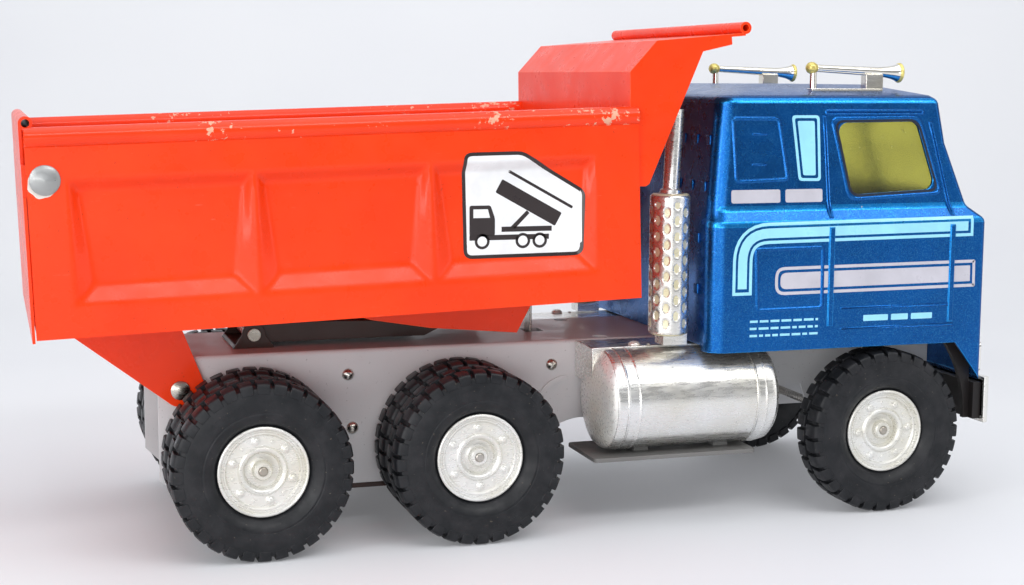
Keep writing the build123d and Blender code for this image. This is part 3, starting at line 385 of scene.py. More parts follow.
def refined(node, width=0.25, weigh=None, materials=None, paint=None, clamp=True):
    """A CAD node's shape with its edges rounded, standing for that node."""
    source = frame["nodes"][node]
    shape = bmesh.new()
    shape.from_mesh(source.data)
    bmesh.ops.remove_doubles(shape, verts=shape.verts, dist=2e-6)
    bmesh.ops.dissolve_limit(shape, angle_limit=math.radians(0.5), verts=shape.verts,
                             edges=shape.edges)
    layer = shape.edges.layers.float.new("bevel_weight_edge")
    for edge in shape.edges:
        if len(edge.link_faces) == 2 and edge.calc_face_angle(0.0) > math.radians(24):
            edge[layer] = weigh(edge) if weigh else 1.0
    if paint:
        for face in shape.faces:
            face.material_index = paint(face)
    else:
        for face in shape.faces:
            face.material_index = 0
    mesh = bpy.data.meshes.new(node + "_detailed")
    shape.to_mesh(mesh)
    shape.free()
    slot = node_slot[node]
    piece = finish_piece(node + "_detailed", mesh, source["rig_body"],
                         materials or finish_of[slot], (node,))
    # The bevelled edges take the slot's second finish; for the bed and cab that is a lighter copy of the paint, a
    # painted highlight.
    soften(piece, width, 2, True, 1, clamp)
    return piece


class Shape:
    """Collects solids in millimetres into one mesh."""

    def __init__(self):
        self.bm = bmesh.new()

    def revolve(self, profile, origin, axis, segments=64, material=0, closed=False):
        """Turns (along, radius) points round an axis. An open profile's ends are capped."""
        axis = Vector(axis).normalized()
        side = axis.orthogonal().normalized()
        other = axis.cross(side)
        rings = []
        for along, radius in profile:
            ring = []
            for index in range(segments):
                turn = 2 * math.pi * index / segments
                point = (Vector(origin) + axis * along
                         + (side * math.cos(turn) + other * math.sin(turn)) * max(radius, 0.02))
                ring.append(self.bm.verts.new(point * MM))
            rings.append(ring)
        pairs = list(zip(rings, rings[1:])) + ([(rings[-1], rings[0])] if closed else [])
        for low, high in pairs:
            for index in range(segments):
                after = (index + 1) % segments
                face = self.bm.faces.new((low[index], low[after], high[after], high[index]))
                face.material_index = material
        if not closed:
            self.bm.faces.new(rings[0]).material_index = material
            self.bm.faces.new(rings[-1]).material_index = material

    def prism(self, outline, direction, material=0):
        """A flat outline of 3-D points pushed along a direction."""
        low = [self.bm.verts.new(Vector(p) * MM) for p in outline]
        high = [self.bm.verts.new((Vector(p) + Vector(direction)) * MM) for p in outline]
        faces = [self.bm.faces.new(low), self.bm.faces.new(high)]
        for index in range(len(low)):
            after = (index + 1) % len(low)
            faces.append(self.bm.faces.new((low[index], low[after], high[after], high[index])))
        for face in faces:
            face.material_index = material

    def box(self, low, high, material=0):
        (x0, y0, z0), (x1, y1, z1) = low, high
        self.prism([(x0, y0, z0), (x1, y0, z0), (x1, y1, z0), (x0, y1, z0)], (0, 0, z1 - z0),
                   material)

    def mesh(self, name):
        bmesh.ops.recalc_face_normals(self.bm, faces=self.bm.faces)
        mesh = bpy.data.meshes.new(name)
        self.bm.to_mesh(mesh)
        self.bm.free()
        return mesh


def rounded(points, radius, steps=5):
    """A closed 2-D outline with its corners rounded, by one radius or by one for each corner."""
    result = []
    count = len(points)
    radii = radius if isinstance(radius, list) else [radius] * count
    for index, (x, z) in enumerate(points):
        corner = Vector((x, z))
        before, after = Vector(points[index - 1]), Vector(points[(index + 1) % count])
        back, ahead = (before - corner), (after - corner)
        reach = min(radii[index], back.length / 2.05, ahead.length / 2.05)
        first, last = corner + back.normalized() * reach, corner + ahead.normalized() * reach
        for step in range(steps + 1):
            t = step / steps
            result.append(tuple(first.lerp(corner, t).lerp(corner.lerp(last, t), t)))
    return result


def inset(points, amount):
    """A closed, anticlockwise or clockwise outline moved inwards by an amount."""
    area = sum(a[0] * b[1] - b[0] * a[1] for a, b in zip(points, points[1:] + points[:1]))
    turn = 1 if area > 0 else -1
    result = []
    for index, point in enumerate(points):
        before = Vector(point) - Vector(points[index - 1])
        after = Vector(points[(index + 1) % len(points)]) - Vector(point)
        normals = [Vector((-d.y, d.x)).normalized() * turn for d in (before, after)]
        middle = (normals[0] + normals[1]).normalized()
        result.append(tuple(Vector(point) + middle * amount / max(middle.dot(normals[0]), 0.4)))
    return result


# ---------------------------------------------------------------- the bed's shape
tilt = math.radians(1.85)
hinge_x, hinge_z = -133.9, 57.4


def bed_point(u, w):
    return (hinge_x + u * math.cos(tilt) - w * math.sin(tilt),
            hinge_z + u * math.sin(tilt) + w * math.cos(tilt))


def ease(share, soft=0.16):
    """0..1 with its two bends rounded, as sheet metal is."""
    if share <= -soft or share >= 1 + soft:
        return 0.0 if share < 0.5 else 1.0
    if share < soft:
        return (share + soft) ** 2 / (4 * soft)
    if share > 1 - soft:
        return 1 - (1 + soft - share) ** 2 / (4 * soft)
    return share


def panel_depth(u, w):
    """How far the side wall is pressed in at a point: three tapered panels."""
    deepest = 0.0
    for index in range(3):
        across = abs(u - (-6.3 + 63.6 * index))
        if across > 33 or not 37 < w < 85:
            continue
        floor_half = 24.1 + 4.1 * (w - 46.4) / 32.2
        shares = [(30.9 - across) / (30.9 - min(floor_half, 28.9)), (w - 39.5) / 6.9,
                  (82.5 - w) / 3.9]
        low = min(shares)
        blend_room = sum(max(0.0, 0.22 - (share - low)) ** 2 for share in shares) - 0.22 ** 2
        deepest = max(deepest, 3.3 * ease(low - blend_room * 1.2))
    return deepest


# ---------------------------------------------------------------- flat prints on a side
cab_profile = [(60.0, 68.0), (118.0, 68.0), (123.5, 65.0), (148.4, 63.0), (165.5, 61.4)]


def cab_side(x, z):
    """Half width of the cab at a height."""
    for (low, first), (high, second) in zip(cab_profile, cab_profile[1:]):
        if z <= high:
            return first + (second - first) * max(z - low, 0) / (high - low)
    return cab_profile[-1][1]


def bed_side(x, z):
    """Half width of the bed at a point, following its pressed panels."""
    across, up = x - hinge_x, z - hinge_z
    return 69.5 - panel_depth(across * math.cos(tilt) + up * math.sin(tilt),
                              up * math.cos(tilt) - across * math.sin(tilt))


# where a film on each side is folded: axis, then millimetres
folds_of = {cab_side: [("Z", z) for z, half in cab_profile[1:-1]],
            bed_side: [("Z", 107.8 + 0.5 * step) for step in range(5)]
            + [("Z", 137.9 + 0.6 * step) for step in range(13)]
            + [("X", -32.0 + 6.0 * step) for step in range(7)]
            + [("X", 7.5 + 0.8 * step) for step in range(7)]}


def film(shape, outline, side, surface, lift, material=0, hole=None):
    """A thin skin lying on one side of the truck, with its rim closed down onto the surface."""
    depth_of = {}

    def at(point, off):
        x, z = point
        vert = shape.bm.verts.new(Vector((x, side * (surface(x, z) + off), z)) * MM)
        depth_of[vert] = off
        return vert

    top = [at(p, lift) for p in outline]
    low = [at(p, -0.15) for p in outline]
    count = len(outline)
    faces = [shape.bm.faces.new((top[i], top[(i + 1) % count], low[(i + 1) % count], low[i]))
             for i in range(count)]
    if hole is None:
        faces.append(shape.bm.faces.new(top))
    else:
        inner_top = [at(p, lift) for p in hole]
        inner_low = [at(p, -0.15) for p in hole]
        for i in range(count):
            j = (i + 1) % count
            faces.append(shape.bm.faces.new((top[i], top[j], inner_top[j], inner_top[i])))
            faces.append(shape.bm.faces.new((inner_top[i], inner_top[j], inner_low[j],
                                             inner_low[i])))
    for face in faces:
        face.material_index = material
    for axis, fold in folds_of[surface]:
        place_of = "XYZ".index(axis)
        spots = [v.co[place_of] / MM for v in depth_of]
        if not min(spots) + 0.01 < fold < max(spots) - 0.01:
            continue
        normal = Vector((axis == "X", 0, axis == "Z"))
        faces = {f for v in depth_of for f in v.link_faces}
        edges = {e for f in faces for e in f.edges}
        cut = bmesh.ops.bisect_plane(shape.bm, geom=[*depth_of, *edges, *faces], dist=1e-8,
                                     plane_co=normal * fold * MM, plane_no=normal)
        for vert in [g for g in cut["geom_cut"] if isinstance(g, bmesh.types.BMVert)]:
            if vert not in depth_of:
                ends = [e.other_vert(vert) for e in vert.link_edges]
                depth_of[vert] = next(depth_of[v] for v in ends if v in depth_of)
                x, z = vert.co.x / MM, vert.co.z / MM
                vert.co.y = side * (surface(x, z) + depth_of[vert]) * MM


def ridge(shape, outline, side, surface, width, height, material=0):
    """An embossed line round a closed outline: raised in its middle, flush at both edges."""
    rows = [(0.0, -0.1), (0.3, 0.75), (0.5, 1.0), (0.7, 0.75), (1.0, -0.1)]
    rings = []
    for share, level in rows:
        ring = [shape.bm.verts.new(Vector((x, side * (surface(x, z) + height * level), z)) * MM)
                for x, z in inset(outline, width * share)]
        rings.append(ring)
    for low, high in zip(rings, rings[1:]):
        for i in range(len(low)):
            j = (i + 1) % len(low)
            shape.bm.faces.new((low[i], low[j], high[j], high[i])).material_index = material


def ribbon(points, half):
    """A closed outline round an open path, half wide each way."""
    left, right = [], []
    for index, point in enumerate(points):
        ahead = Vector(points[min(index + 1, len(points) - 1)]) - Vector(point)
        back = Vector(point) - Vector(points[max(index - 1, 0)])
        run = (ahead.normalized() + back.normalized()).normalized()
        across = Vector((-run.y, run.x)) * half
        left.append(tuple(Vector(point) + across))
        right.append(tuple(Vector(point) - across))
    return left + right[::-1]


def bend(start_point, corner, end_point, radius, steps=8):
    """An open path with one rounded corner."""
    start_point, corner, end_point = Vector(start_point), Vector(corner), Vector(end_point)
    first = corner + (start_point - corner).normalized() * radius
    last = corner + (end_point - corner).normalized() * radius
    arc = [tuple(first.lerp(corner, t / steps).lerp(corner.lerp(last, t / steps), t / steps))
           for t in range(steps + 1)]
    return [tuple(start_point)] + arc + [tuple(end_point)]


# ---------------------------------------------------------------- wheels
tyre_radius, tyre_width, lugs = 33.0, 17.4, 32


def tyre_mesh(name, side, phase):
    """A tyre about its own axle, turned by a phase: Y runs outwards on the right or left side."""
    shape = Shape()
    w = tyre_width
    carcass = [(3.6, 15.6), (1.1, 17.4), (0.35, 19.5), (0.3, 22), (0.55, 26), (0.9, 29.0),
               (1.5, 30.6), (2.4, 31.3), (w / 2, 31.4), (w - 2.4, 31.3), (w - 1.1, 30.6),
               (w - 0.45, 29.0), (w - 0.12, 26.5), (w, 24.2), (w, 22.6), (w - 0.25, 22.1),
               (w - 0.05, 21.6), (w - 0.2, 21.1), (w - 0.8, 19.8), (15.4, 18.0), (13.9, 17.2),
               (13.6, 16.7), (13.6, 15.6)]
    shape.revolve(carcass, (0, 0, 0), (0, side, 0), 128, 0, True)
    for row, (inner, outer) in enumerate([(w / 2 - 0.9, 0.55), (w / 2 + 0.9, w - 0.5)]):
        away = -1 if row == 0 else 1
        rows = [(inner, 32.85), (inner + away * 1.2, 33.0), (outer - away * 2.2, 32.95),
                (outer - away * 0.6, 32.3), (outer + away * 0.02, 31.2), (outer + away * 0.22, 28.7)]
        base = [(inner, 31.0), (inner + away * 1.2, 31.0), (outer - away * 2.2, 31.0),
                (outer - away * 1.2, 30.6), (outer - away * 1.3, 29.9), (outer - away * 1.3, 28.9)]
        for lug in range(lugs):
            middle = phase + 2 * math.pi * (lug + 0.5 * row) / lugs
            turns = [middle + share * math.pi / lugs for share in (-0.74, -0.25, 0.25, 0.74)]
            grid = []
            for level in (rows, base):
                grid.append([[shape.bm.verts.new(Vector((r * math.cos(t), side * y,
                                                         r * math.sin(t))) * MM)
                              for t in turns] for y, r in level])
            top, low = grid
            last = len(rows) - 1
            for i in range(last):
                for j in range(3):
                    shape.bm.faces.new((top[i][j], top[i][j + 1], top[i + 1][j + 1],
                                        top[i + 1][j]))
                for j in (0, 3):
                    shape.bm.faces.new((top[i][j], top[i + 1][j], low[i + 1][j], low[i][j]))
            for i in (0, last):
                for j in range(3):
                    shape.bm.faces.new((top[i][j], top[i][j + 1], low[i][j + 1], low[i][j]))
    # raised dashes round the sidewall, where a maker's lettering would be
    for centre in (0.55, 2.2, 3.9, 5.3):
        for index in range(9):
            turn = phase + centre + index * 0.062
            out = Vector((math.cos(turn), 0, math.sin(turn)))
            along = Vector((-math.sin(turn), 0, math.cos(turn)))
            spots = [out * r + along * a for r, a in ((24.6, -0.55), (24.6, 0.55), (26.3, 0.5),
                                                      (26.3, -0.5))]
            shape.prism([p + Vector((0, side * (w - 0.35), 0)) for p in spots],
                        (0, side * 0.33, 0))
    return shape.mesh(name)


def hub_mesh(name, side, phase):
    """The plated outer hub: stepped rim, dished face, six nuts, a cup and the axle's boss."""
    shape = Shape()
    profile = [(3.0, 15.5), (13.6, 15.6), (13.7, 16.3), (14.1, 16.6), (14.6, 16.5), (14.8, 16.1),
               (14.6, 15.6), (13.6, 15.2), (13.2, 14.9), (13.2, 14.5), (13.5, 14.2),
               (13.5, 13.8), (13.1, 13.4), (12.6, 13.1), (12.55, 11.0), (12.6, 9.2), (13.0, 8.9),
               (13.4, 8.4), (13.35, 7.7), (12.9, 7.0), (12.0, 6.6), (10.6, 6.1), (10.5, 5.0),
               (11.0, 3.8), (12.2, 3.6), (12.9, 3.4), (13.4, 2.9), (13.5, 1.8), (3.0, 1.75)]
    shape.revolve(profile, (0, 0, 0), (0, side, 0), 72, 0, True)
    for index in range(6):
        turn = phase + math.radians(60 * index)
        spot = (11.2 * math.cos(turn), side * 12.4, 11.2 * math.sin(turn))
        shape.revolve([(0, 1.75), (0.35, 1.7), (0.5, 1.25), (1.0, 1.15), (1.25, 0.8), (1.3, 0.1)],
                      spot, (0, side, 0), 14)
        shape.revolve([(0.0, 0.7), (0.42, 0.6), (0.5, 0.1)],
                      (8.9 * math.cos(turn + 0.5) * 1.25, side * 12.45,
                       8.9 * math.sin(turn + 0.5) * 1.25), (0, side, 0), 8)
    return shape.mesh(name)


random.seed(11)


def wheel_piece(name, maker, side, node, body, phase):
    """One tyre or hub put on its axle, turned by a phase."""
    low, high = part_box(node)
    middle = (low + high) / 2
    is_tyre = maker is tyre_mesh
    inner = (low.y if side > 0 else high.y) - (0 if is_tyre else side * 3.0 * MM)
    mesh = maker(name, side, phase)
    mesh.transform(Matrix.Translation((middle.x, inner, middle.z)))
    piece = finish_piece(name, mesh, body,
                         (tyre_rubber if is_tyre else cream,), (node,), 38)
    if is_tyre:
        soften(piece, 0.22, 1)


for row, body in (("rear", "rear_wheelset"), ("mid", "mid_wheelset"), ("front", "front_wheelset")):
    for side_name, side in (("right", -1), ("left", 1)):
        turn = random.uniform(0, 2 * math.pi)
        places = [f"{row}_{side_name}"] if row == "front" else [
            f"{row}_{side_name}_outer", f"{row}_{side_name}_inner"]
        for index, place_name in enumerate(places):
            lean = turn + index * math.pi / lugs
            wheel_piece(place_name + "_tyre_tread", tyre_mesh, side, place_name + "_tyre",
                        body, lean)
            if index == 0:
                wheel_piece(place_name + "_hub_plated", hub_mesh, side, place_name + "_hub",
                            body, turn)
            else:
                refined(place_name + "_hub", 0.3)
    refined(f"{row}_axle", 0.2)


# ---------------------------------------------------------------- the bed
def bed_wall(shape, side):
    """One side wall as a sheet 1 mm thick, from its lower edge up to the rim."""
    columns = [-51.0 + 220.6 * i / 250 for i in range(251)]
    levels = [28.4 + 66.4 * i / 82 for i in range(83)]
    skins = []
    for thickness in (0.0, 1.0):
        skin = []
        for w in levels:
            row = []
            for u in columns:
                wave = 0.12 * math.sin(u * 0.045 + w * 0.03) * math.sin(w * 0.07 + 1)
                wave *= min(1, (w - 28.4) / 8, (u + 51) / 8, (169.6 - u) / 8)
                x, z = bed_point(u, w)
                y = 69.5 - panel_depth(u, w) - thickness - abs(wave)
                row.append(shape.bm.verts.new(Vector((x, side * y, z)) * MM))
            skin.append(row)
        skins.append(skin)
        for low, high in zip(skin, skin[1:]):
            for i in range(len(columns) - 1):
                shape.bm.faces.new((low[i], low[i + 1], high[i + 1], high[i]))
    outer, inner = skins
    # The sheet's cut edges take the lighter red: a painted highlight, with extra chips for wear.
    for row_out, row_in in ((outer[0], inner[0]), (outer[-1], inner[-1])):
        for i in range(len(columns) - 1):
            shape.bm.faces.new((row_out[i], row_out[i + 1], row_in[i + 1], row_in[i])).material_index = 1
    for column in (0, -1):
        for k in range(len(levels) - 1):
            shape.bm.faces.new((outer[k][column], outer[k + 1][column], inner[k + 1][column],
                                inner[k][column])).material_index = 1


bed = Shape()
along_bed = Vector((math.cos(tilt), 0, math.sin(tilt)))
for side in (-1, 1):
    bed_wall(bed, side)
    rim_x, rim_z = bed_point(-51.0, 96.8)
    bed.revolve([(0.0, 2.8), (0.0, 3.45), (0.25, 3.7), (220.35, 3.7), (220.6, 3.45), (220.6, 2.8)],
                (rim_x, side * 67.3, rim_z), along_bed, 40, 2, True)
floor_corners = [bed_point(-51.0, 31.0), bed_point(169.6, 31.0), bed_point(169.6, 32.0),
                 bed_point(-51.0, 32.0)]
bed.prism([(x, -68.6, z) for x, z in floor_corners], (0, 137.2, 0))
finish_piece("bed_shell_detailed", bed.mesh("bed_shell_detailed"), "bed",
             (red, red_highlight_and_chips, red_rim), ("bed_shell",))
refined("headboard", 0.3)
refined("tailgate", 0.3)
refined("hinge_brackets", 0.22)
refined("floor_gussets", 0.22)

# round heads of the tailgate's rivets, with bare metal ringed by chipped paint
rivet_low, rivet_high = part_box("tailgate_rivets")
rivet_mid = (rivet_low + rivet_high) / 2 / MM
rivets = Shape()
for side in (-1, 1):
    rivets.revolve([(-8.0, 2.0), (0, 2.0), (0, 5.2), (0.5, 5.1), (0.85, 4.6), (1.3, 2.8),
                    (1.6, 0.1)], (rivet_mid.x, side * 69.5, rivet_mid.z), (0, side, 0), 48)
finish_piece("tailgate_rivet_heads", rivets.mesh("tailgate_rivet_heads"), "bed",
             (rivet_grey,), ("tailgate_rivets",))
halo = Shape()
for side in (-1, 1):
    ring = []
    for index in range(40):
        turn = 2 * math.pi * index / 40
        toward = max(0.0, math.cos(turn - 4.1)) ** 2
        reach = 5.0 + toward * (1.5 + 0.3 * math.sin(9 * turn))
        ring.append((rivet_mid.x + reach * math.cos(turn), rivet_mid.z + reach * math.sin(turn)))
    film(halo, ring, side, bed_side, 0.05)
finish_piece("rivet_chipped_paint", halo.mesh("rivet_chipped_paint"), "bed",
             (printed("bare_primer", (0.72, 0.66, 0.60)),))

# the decal: a white film with a black border, a tipper pictogram and two slanted bars
decal_outline = [(-35.3, 146.6), (-12.8, 147.0), (12.6, 132.1), (11.8, 107.9), (-34.3, 107.5)]
decal = Shape()
for side in (-1, 1):
    outer = rounded(decal_outline, [3.4, 2.4, 2.4, 3.4, 3.4])
    film(decal, outer, side, bed_side, 0.06, 0)
    film(decal, outer, side, bed_side, 0.10, 1, inset(outer, 1.3))

    def spot(x, z):
        """Decal coordinates: x from the picture's left edge, z from the decal's foot."""
        return (-33.2 + 1.06 * x, 109.6 + 1.06 * z)

    def picture(points, lift=0.09, material=1):
        film(decal, [spot(*p) for p in points], side, bed_side, lift, material)

    picture([(1, 4.4), (30, 4.4), (30, 6.2), (1, 6.2)])
    picture(rounded([(1, 6.0), (1, 16.5), (8.6, 16.5), (10.2, 12.0), (10.2, 6.0)], 0.8))
    picture([(2.4, 12.2), (2.4, 15.2), (7.6, 15.2), (8.4, 12.2)], 0.12, 0)
    picture([(12.6, 7.2), (12.6, 9.0), (31.0, 9.0), (31.0, 7.2)])
    picture([(15.6, 8.6), (21.8, 14.6), (22.8, 13.6), (17.0, 7.8)])
    for centre in (5.6, 20.4, 26.6):
        circle = [(centre + 2.7 * math.cos(t * math.pi / 12), 4.0 + 2.7 * math.sin(t * math.pi / 12))
                  for t in range(24)]
        picture(circle)
        hubs = [(centre + 1.75 * math.cos(t * math.pi / 8), 4.0 + 1.75 * math.sin(t * math.pi / 8))
                for t in range(16)]
        picture(hubs, 0.12, 0)
    for start_x, start_z, length, thick in ((10.3, 21.0, 25.0, 5.2), (14.8, 27.9, 27.0, 1.0)):
        run = Vector((math.cos(math.radians(-29)), math.sin(math.radians(-29))))
        across = Vector((-run.y, run.x)) * thick
        first = Vector((start_x, start_z))
        corners = [first, first + run * length, first + run * length + across, first + across]
        picture(rounded([tuple(c) for c in corners], 0.6))
finish_piece("bed_decal", decal.mesh("bed_decal"), "bed", (white_film, black_film))


# ---------------------------------------------------------------- the cab
def cab_weight(edge):
    """Outer creases of the cab are pressed softly, cut edges stay crisp."""
    spots = [v.co / MM for v in edge.verts]
    if all(s.z > 117.0 and abs(s.y) > 30 for s in spots) and edge.calc_face_angle(0) < 1.2:
        return 1.0
    return 0.2


# The cab's rounded creases and edges take the lighter blue: a painted highlight along them.
refined("cab_shell", 1.3, cab_weight, None, None, False)
refined("cab_interior", 0.5)
glass = refined("glazing", 0.3)
refined("bumper", 0.35, None, (chrome, cream))
refined("bumper_backing", 0.3, None, (black, black))
refined("grille", 0.3)
refined("headlight_bezels", 0.3)
refined("headlight_lenses", 0.5)

window_ring = [(119.0, 156.6), (154.5, 157.0), (162.8, 130.2), (125.4, 128.5)]
stripes, pinks, emboss, seal = Shape(), Shape(), Shape(), Shape()
for side in (-1, 1):
    # upper light-blue band: an outline with a broad stripe inside it, round one corner
    path = bend((77.0, 90.4), (77.0, 114.2), (178.6, 115.3), 11.0)
    outer = ribbon(path, 4.1)
    film(stripes, outer, side, cab_side, 0.05, 0, ribbon(
        [(77.0, 91.6), *path[1:-1], (177.4, 115.3)], 2.9))
    film(stripes, ribbon([(77.0, 92.9), *path[1:-1], (176.2, 115.3)], 1.9), side, cab_side, 0.05)
    # small raked flash beside the door
    flash = [(99.4, 159.6), (111.4, 159.6), (111.6, 134.0), (102.0, 134.2)]
    film(stripes, rounded(flash, 1.6), side, cab_side, 0.06, 0, rounded(inset(flash, 1.1), 1.0))
    film(stripes, rounded(inset(flash, 2.2), 0.7), side, cab_side, 0.06)
    # lower pale band
    low_band = [(91.0, 90.0), (180.2, 90.6), (180.0, 101.6), (91.0, 101.0)]
    outer = rounded(low_band, [4.2, 0.5, 0.5, 4.2])
    film(pinks, outer, side, cab_side, 0.05, 0, inset(outer, 1.2))
    film(pinks, rounded(inset(low_band, 2.3), [2.6, 0.3, 0.3, 2.6]), side, cab_side, 0.05)
    # bars where lettering would be
    bars = [(73.2, 94.0), (96.2, 112.2)]
    for first, last in bars:
        film(pinks, rounded([(first, 125.9), (last, 125.9), (last, 131.0), (first, 131.0)], 0.9),
             side, cab_side, 0.06)
    for first, last in ((130.0, 141.0), (142.4, 150.0), (151.4, 161.0)):
        film(stripes, rounded([(first, 78.4), (last, 78.4), (last, 80.8), (first, 80.8)], 0.4),
             side, cab_side, 0.06)
    random.seed(5)
    for row in range(3):
        x = 80.6
        while x < 109.0:
            step = random.uniform(1.6, 4.4)
            z = 80.0 - 2.8 * row
            film(stripes, [(x, z - 0.45), (min(x + step, 110), z - 0.45),
                           (min(x + step, 110), z + 0.45), (x, z + 0.45)], side, cab_side, 0.06)
            x += step + 0.9
    # pressed lines: sleeper panel, access panel, door's lower creases, door's top bead
    ridge(emboss, rounded([(73.6, 159.4), (94.6, 159.2), (98.4, 134.0), (74.6, 133.2)], 2.6),
          side, cab_side, 1.8, 0.5)
    ridge(emboss, rounded([(81.8, 109.0), (112.2, 109.2), (112.4, 83.6), (82.8, 83.4)], 2.2),
          side, cab_side, 1.8, 0.5)
    ridge(emboss, rounded(inset(window_ring, -2.6), 4.2), side, cab_side, 1.7, 0.4)
    for first, last, z in ((119.6, 170.0, 83.8), (119.8, 170.6, 75.6)):
        ridge(emboss, [(first, z - 0.7), (last, z - 0.7), (last, z + 0.7), (first, z + 0.7)],
              side, cab_side, 0.7, 0.4)
    ridge(emboss, rounded([(113.8, 162.0), (158.0, 162.0), (158.0, 159.4), (113.8, 159.4)], 1.2),
          side, cab_side, 1.3, 0.5)
    for first, z in ((82.4, 152.3), (82.0, 140.6)):
        ridge(emboss, [(first, z - 0.5), (first + 6.4, z - 0.5), (first + 6.4, z + 0.5),
                       (first, z + 0.5)], side, cab_side, 0.5, 0.3)
    # upright door seams above the belt
    for low_x, high_x, top_z in ((115.2, 113.6, 159.5), (169.6, 160.6, 157.0)):
        seam = [(low_x - 1.0, 119.5), (low_x + 1.0, 119.5), (high_x + 1.0, top_z),
                (high_x - 1.0, top_z)]
        steps = [tuple(Vector(seam[0]).lerp(Vector(seam[3]), t / 6)) for t in range(7)]
        back = [tuple(Vector(seam[1]).lerp(Vector(seam[2]), t / 6)) for t in range(7)]
        ridge(emboss, steps + back[::-1], side, cab_side, 0.9, 0.5)
    ring = rounded(inset(window_ring, -1.1), 4.6)
    film(seal, ring, side, cab_side, 0.08, 0, inset(ring, 1.0))
finish_piece("cab_blue_stripes", stripes.mesh("cab_blue_stripes"), "chassis", (sky_print,))
finish_piece("cab_pale_stripes", pinks.mesh("cab_pale_stripes"), "chassis", (pale_print,))
finish_piece("cab_pressed_lines", emboss.mesh("cab_pressed_lines"), "chassis",
             (blue,), angle=80)
finish_piece("window_gaskets", seal.mesh("window_gaskets"), "chassis", (gasket,))

# small square pressings on the cab's back wall
back = Shape()
for y in (-54, -42, -30, 30, 42, 54):
    for z in (92.0, 112.0, 132.0, 150.0):
        x = 64.0 if z < 118 else 64.0 + 1.5 + (z - 123.5) * 0.1
        back.prism([(x + 0.2, y - 2.0, z - 2.0), (x + 0.2, y + 2.0, z - 2.0),
                    (x + 0.2, y + 2.0, z + 2.0), (x + 0.2, y - 2.0, z + 2.0)], (-0.75, 0, 0))
squares = finish_piece("cab_back_pressings", back.mesh("cab_back_pressings"), "chassis",
                       (blue,))
soften(squares, 0.4)

# ---------------------------------------------------------------- chassis
refined("chassis_frame", 0.4)
for node in ("bottom_plate", "arm_bracket", "lift_arm", "latch"):
    refined(node, 0.25)
# The steps' dark grey is painted shade, not a different paint.
for node in ("step_left", "step_right"):
    refined(node, 0.25, None, (step_grey_painted_shade, step_grey_painted_shade))
for node in ("frame_spacers", "bed_hinge_pins", "arm_pin", "roller_pin", "lift_roller",
             "latch_pin", "frame_rivets"):
    refined(node, 0.2)


def coil(name, node, turns, body):
    """A wound wire spring along Y, filling the room of the plain sleeve it stands for."""
    low, high = (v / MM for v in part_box(node))
    middle = (low + high) / 2
    radius, wire = (high.x - low.x) / 2 - 0.45, 0.4
    shape = Shape()
    steps, around = turns * 20, 8
    rings = []
    for index in range(steps + 1):
        turn = 2 * math.pi * index / 20
        y = low.y + wire + (high.y - low.y - 2 * wire) * index / steps
        out = Vector((math.cos(turn), 0, math.sin(turn)))
        centre = Vector((middle.x, y, middle.z)) + out * radius
        ring = []
        for k in range(around):
            lean = 2 * math.pi * k / around
            point = centre + (out * math.cos(lean) + Vector((0, 1, 0)) * math.sin(lean)) * wire
            ring.append(shape.bm.verts.new(point * MM))
        rings.append(ring)
    for first, second in zip(rings, rings[1:]):
        for k in range(around):
            shape.bm.faces.new((first[k], first[(k + 1) % around], second[(k + 1) % around],
                                second[k]))
    shape.bm.faces.new(rings[0])
    shape.bm.faces.new(rings[-1])
    finish_piece(name, shape.mesh(name), body, (steel,), (node,))


coil("lift_spring_coil", "lift_spring", 17, "lift_arm")
coil("latch_spring_coil", "latch_spring", 8, "chassis")

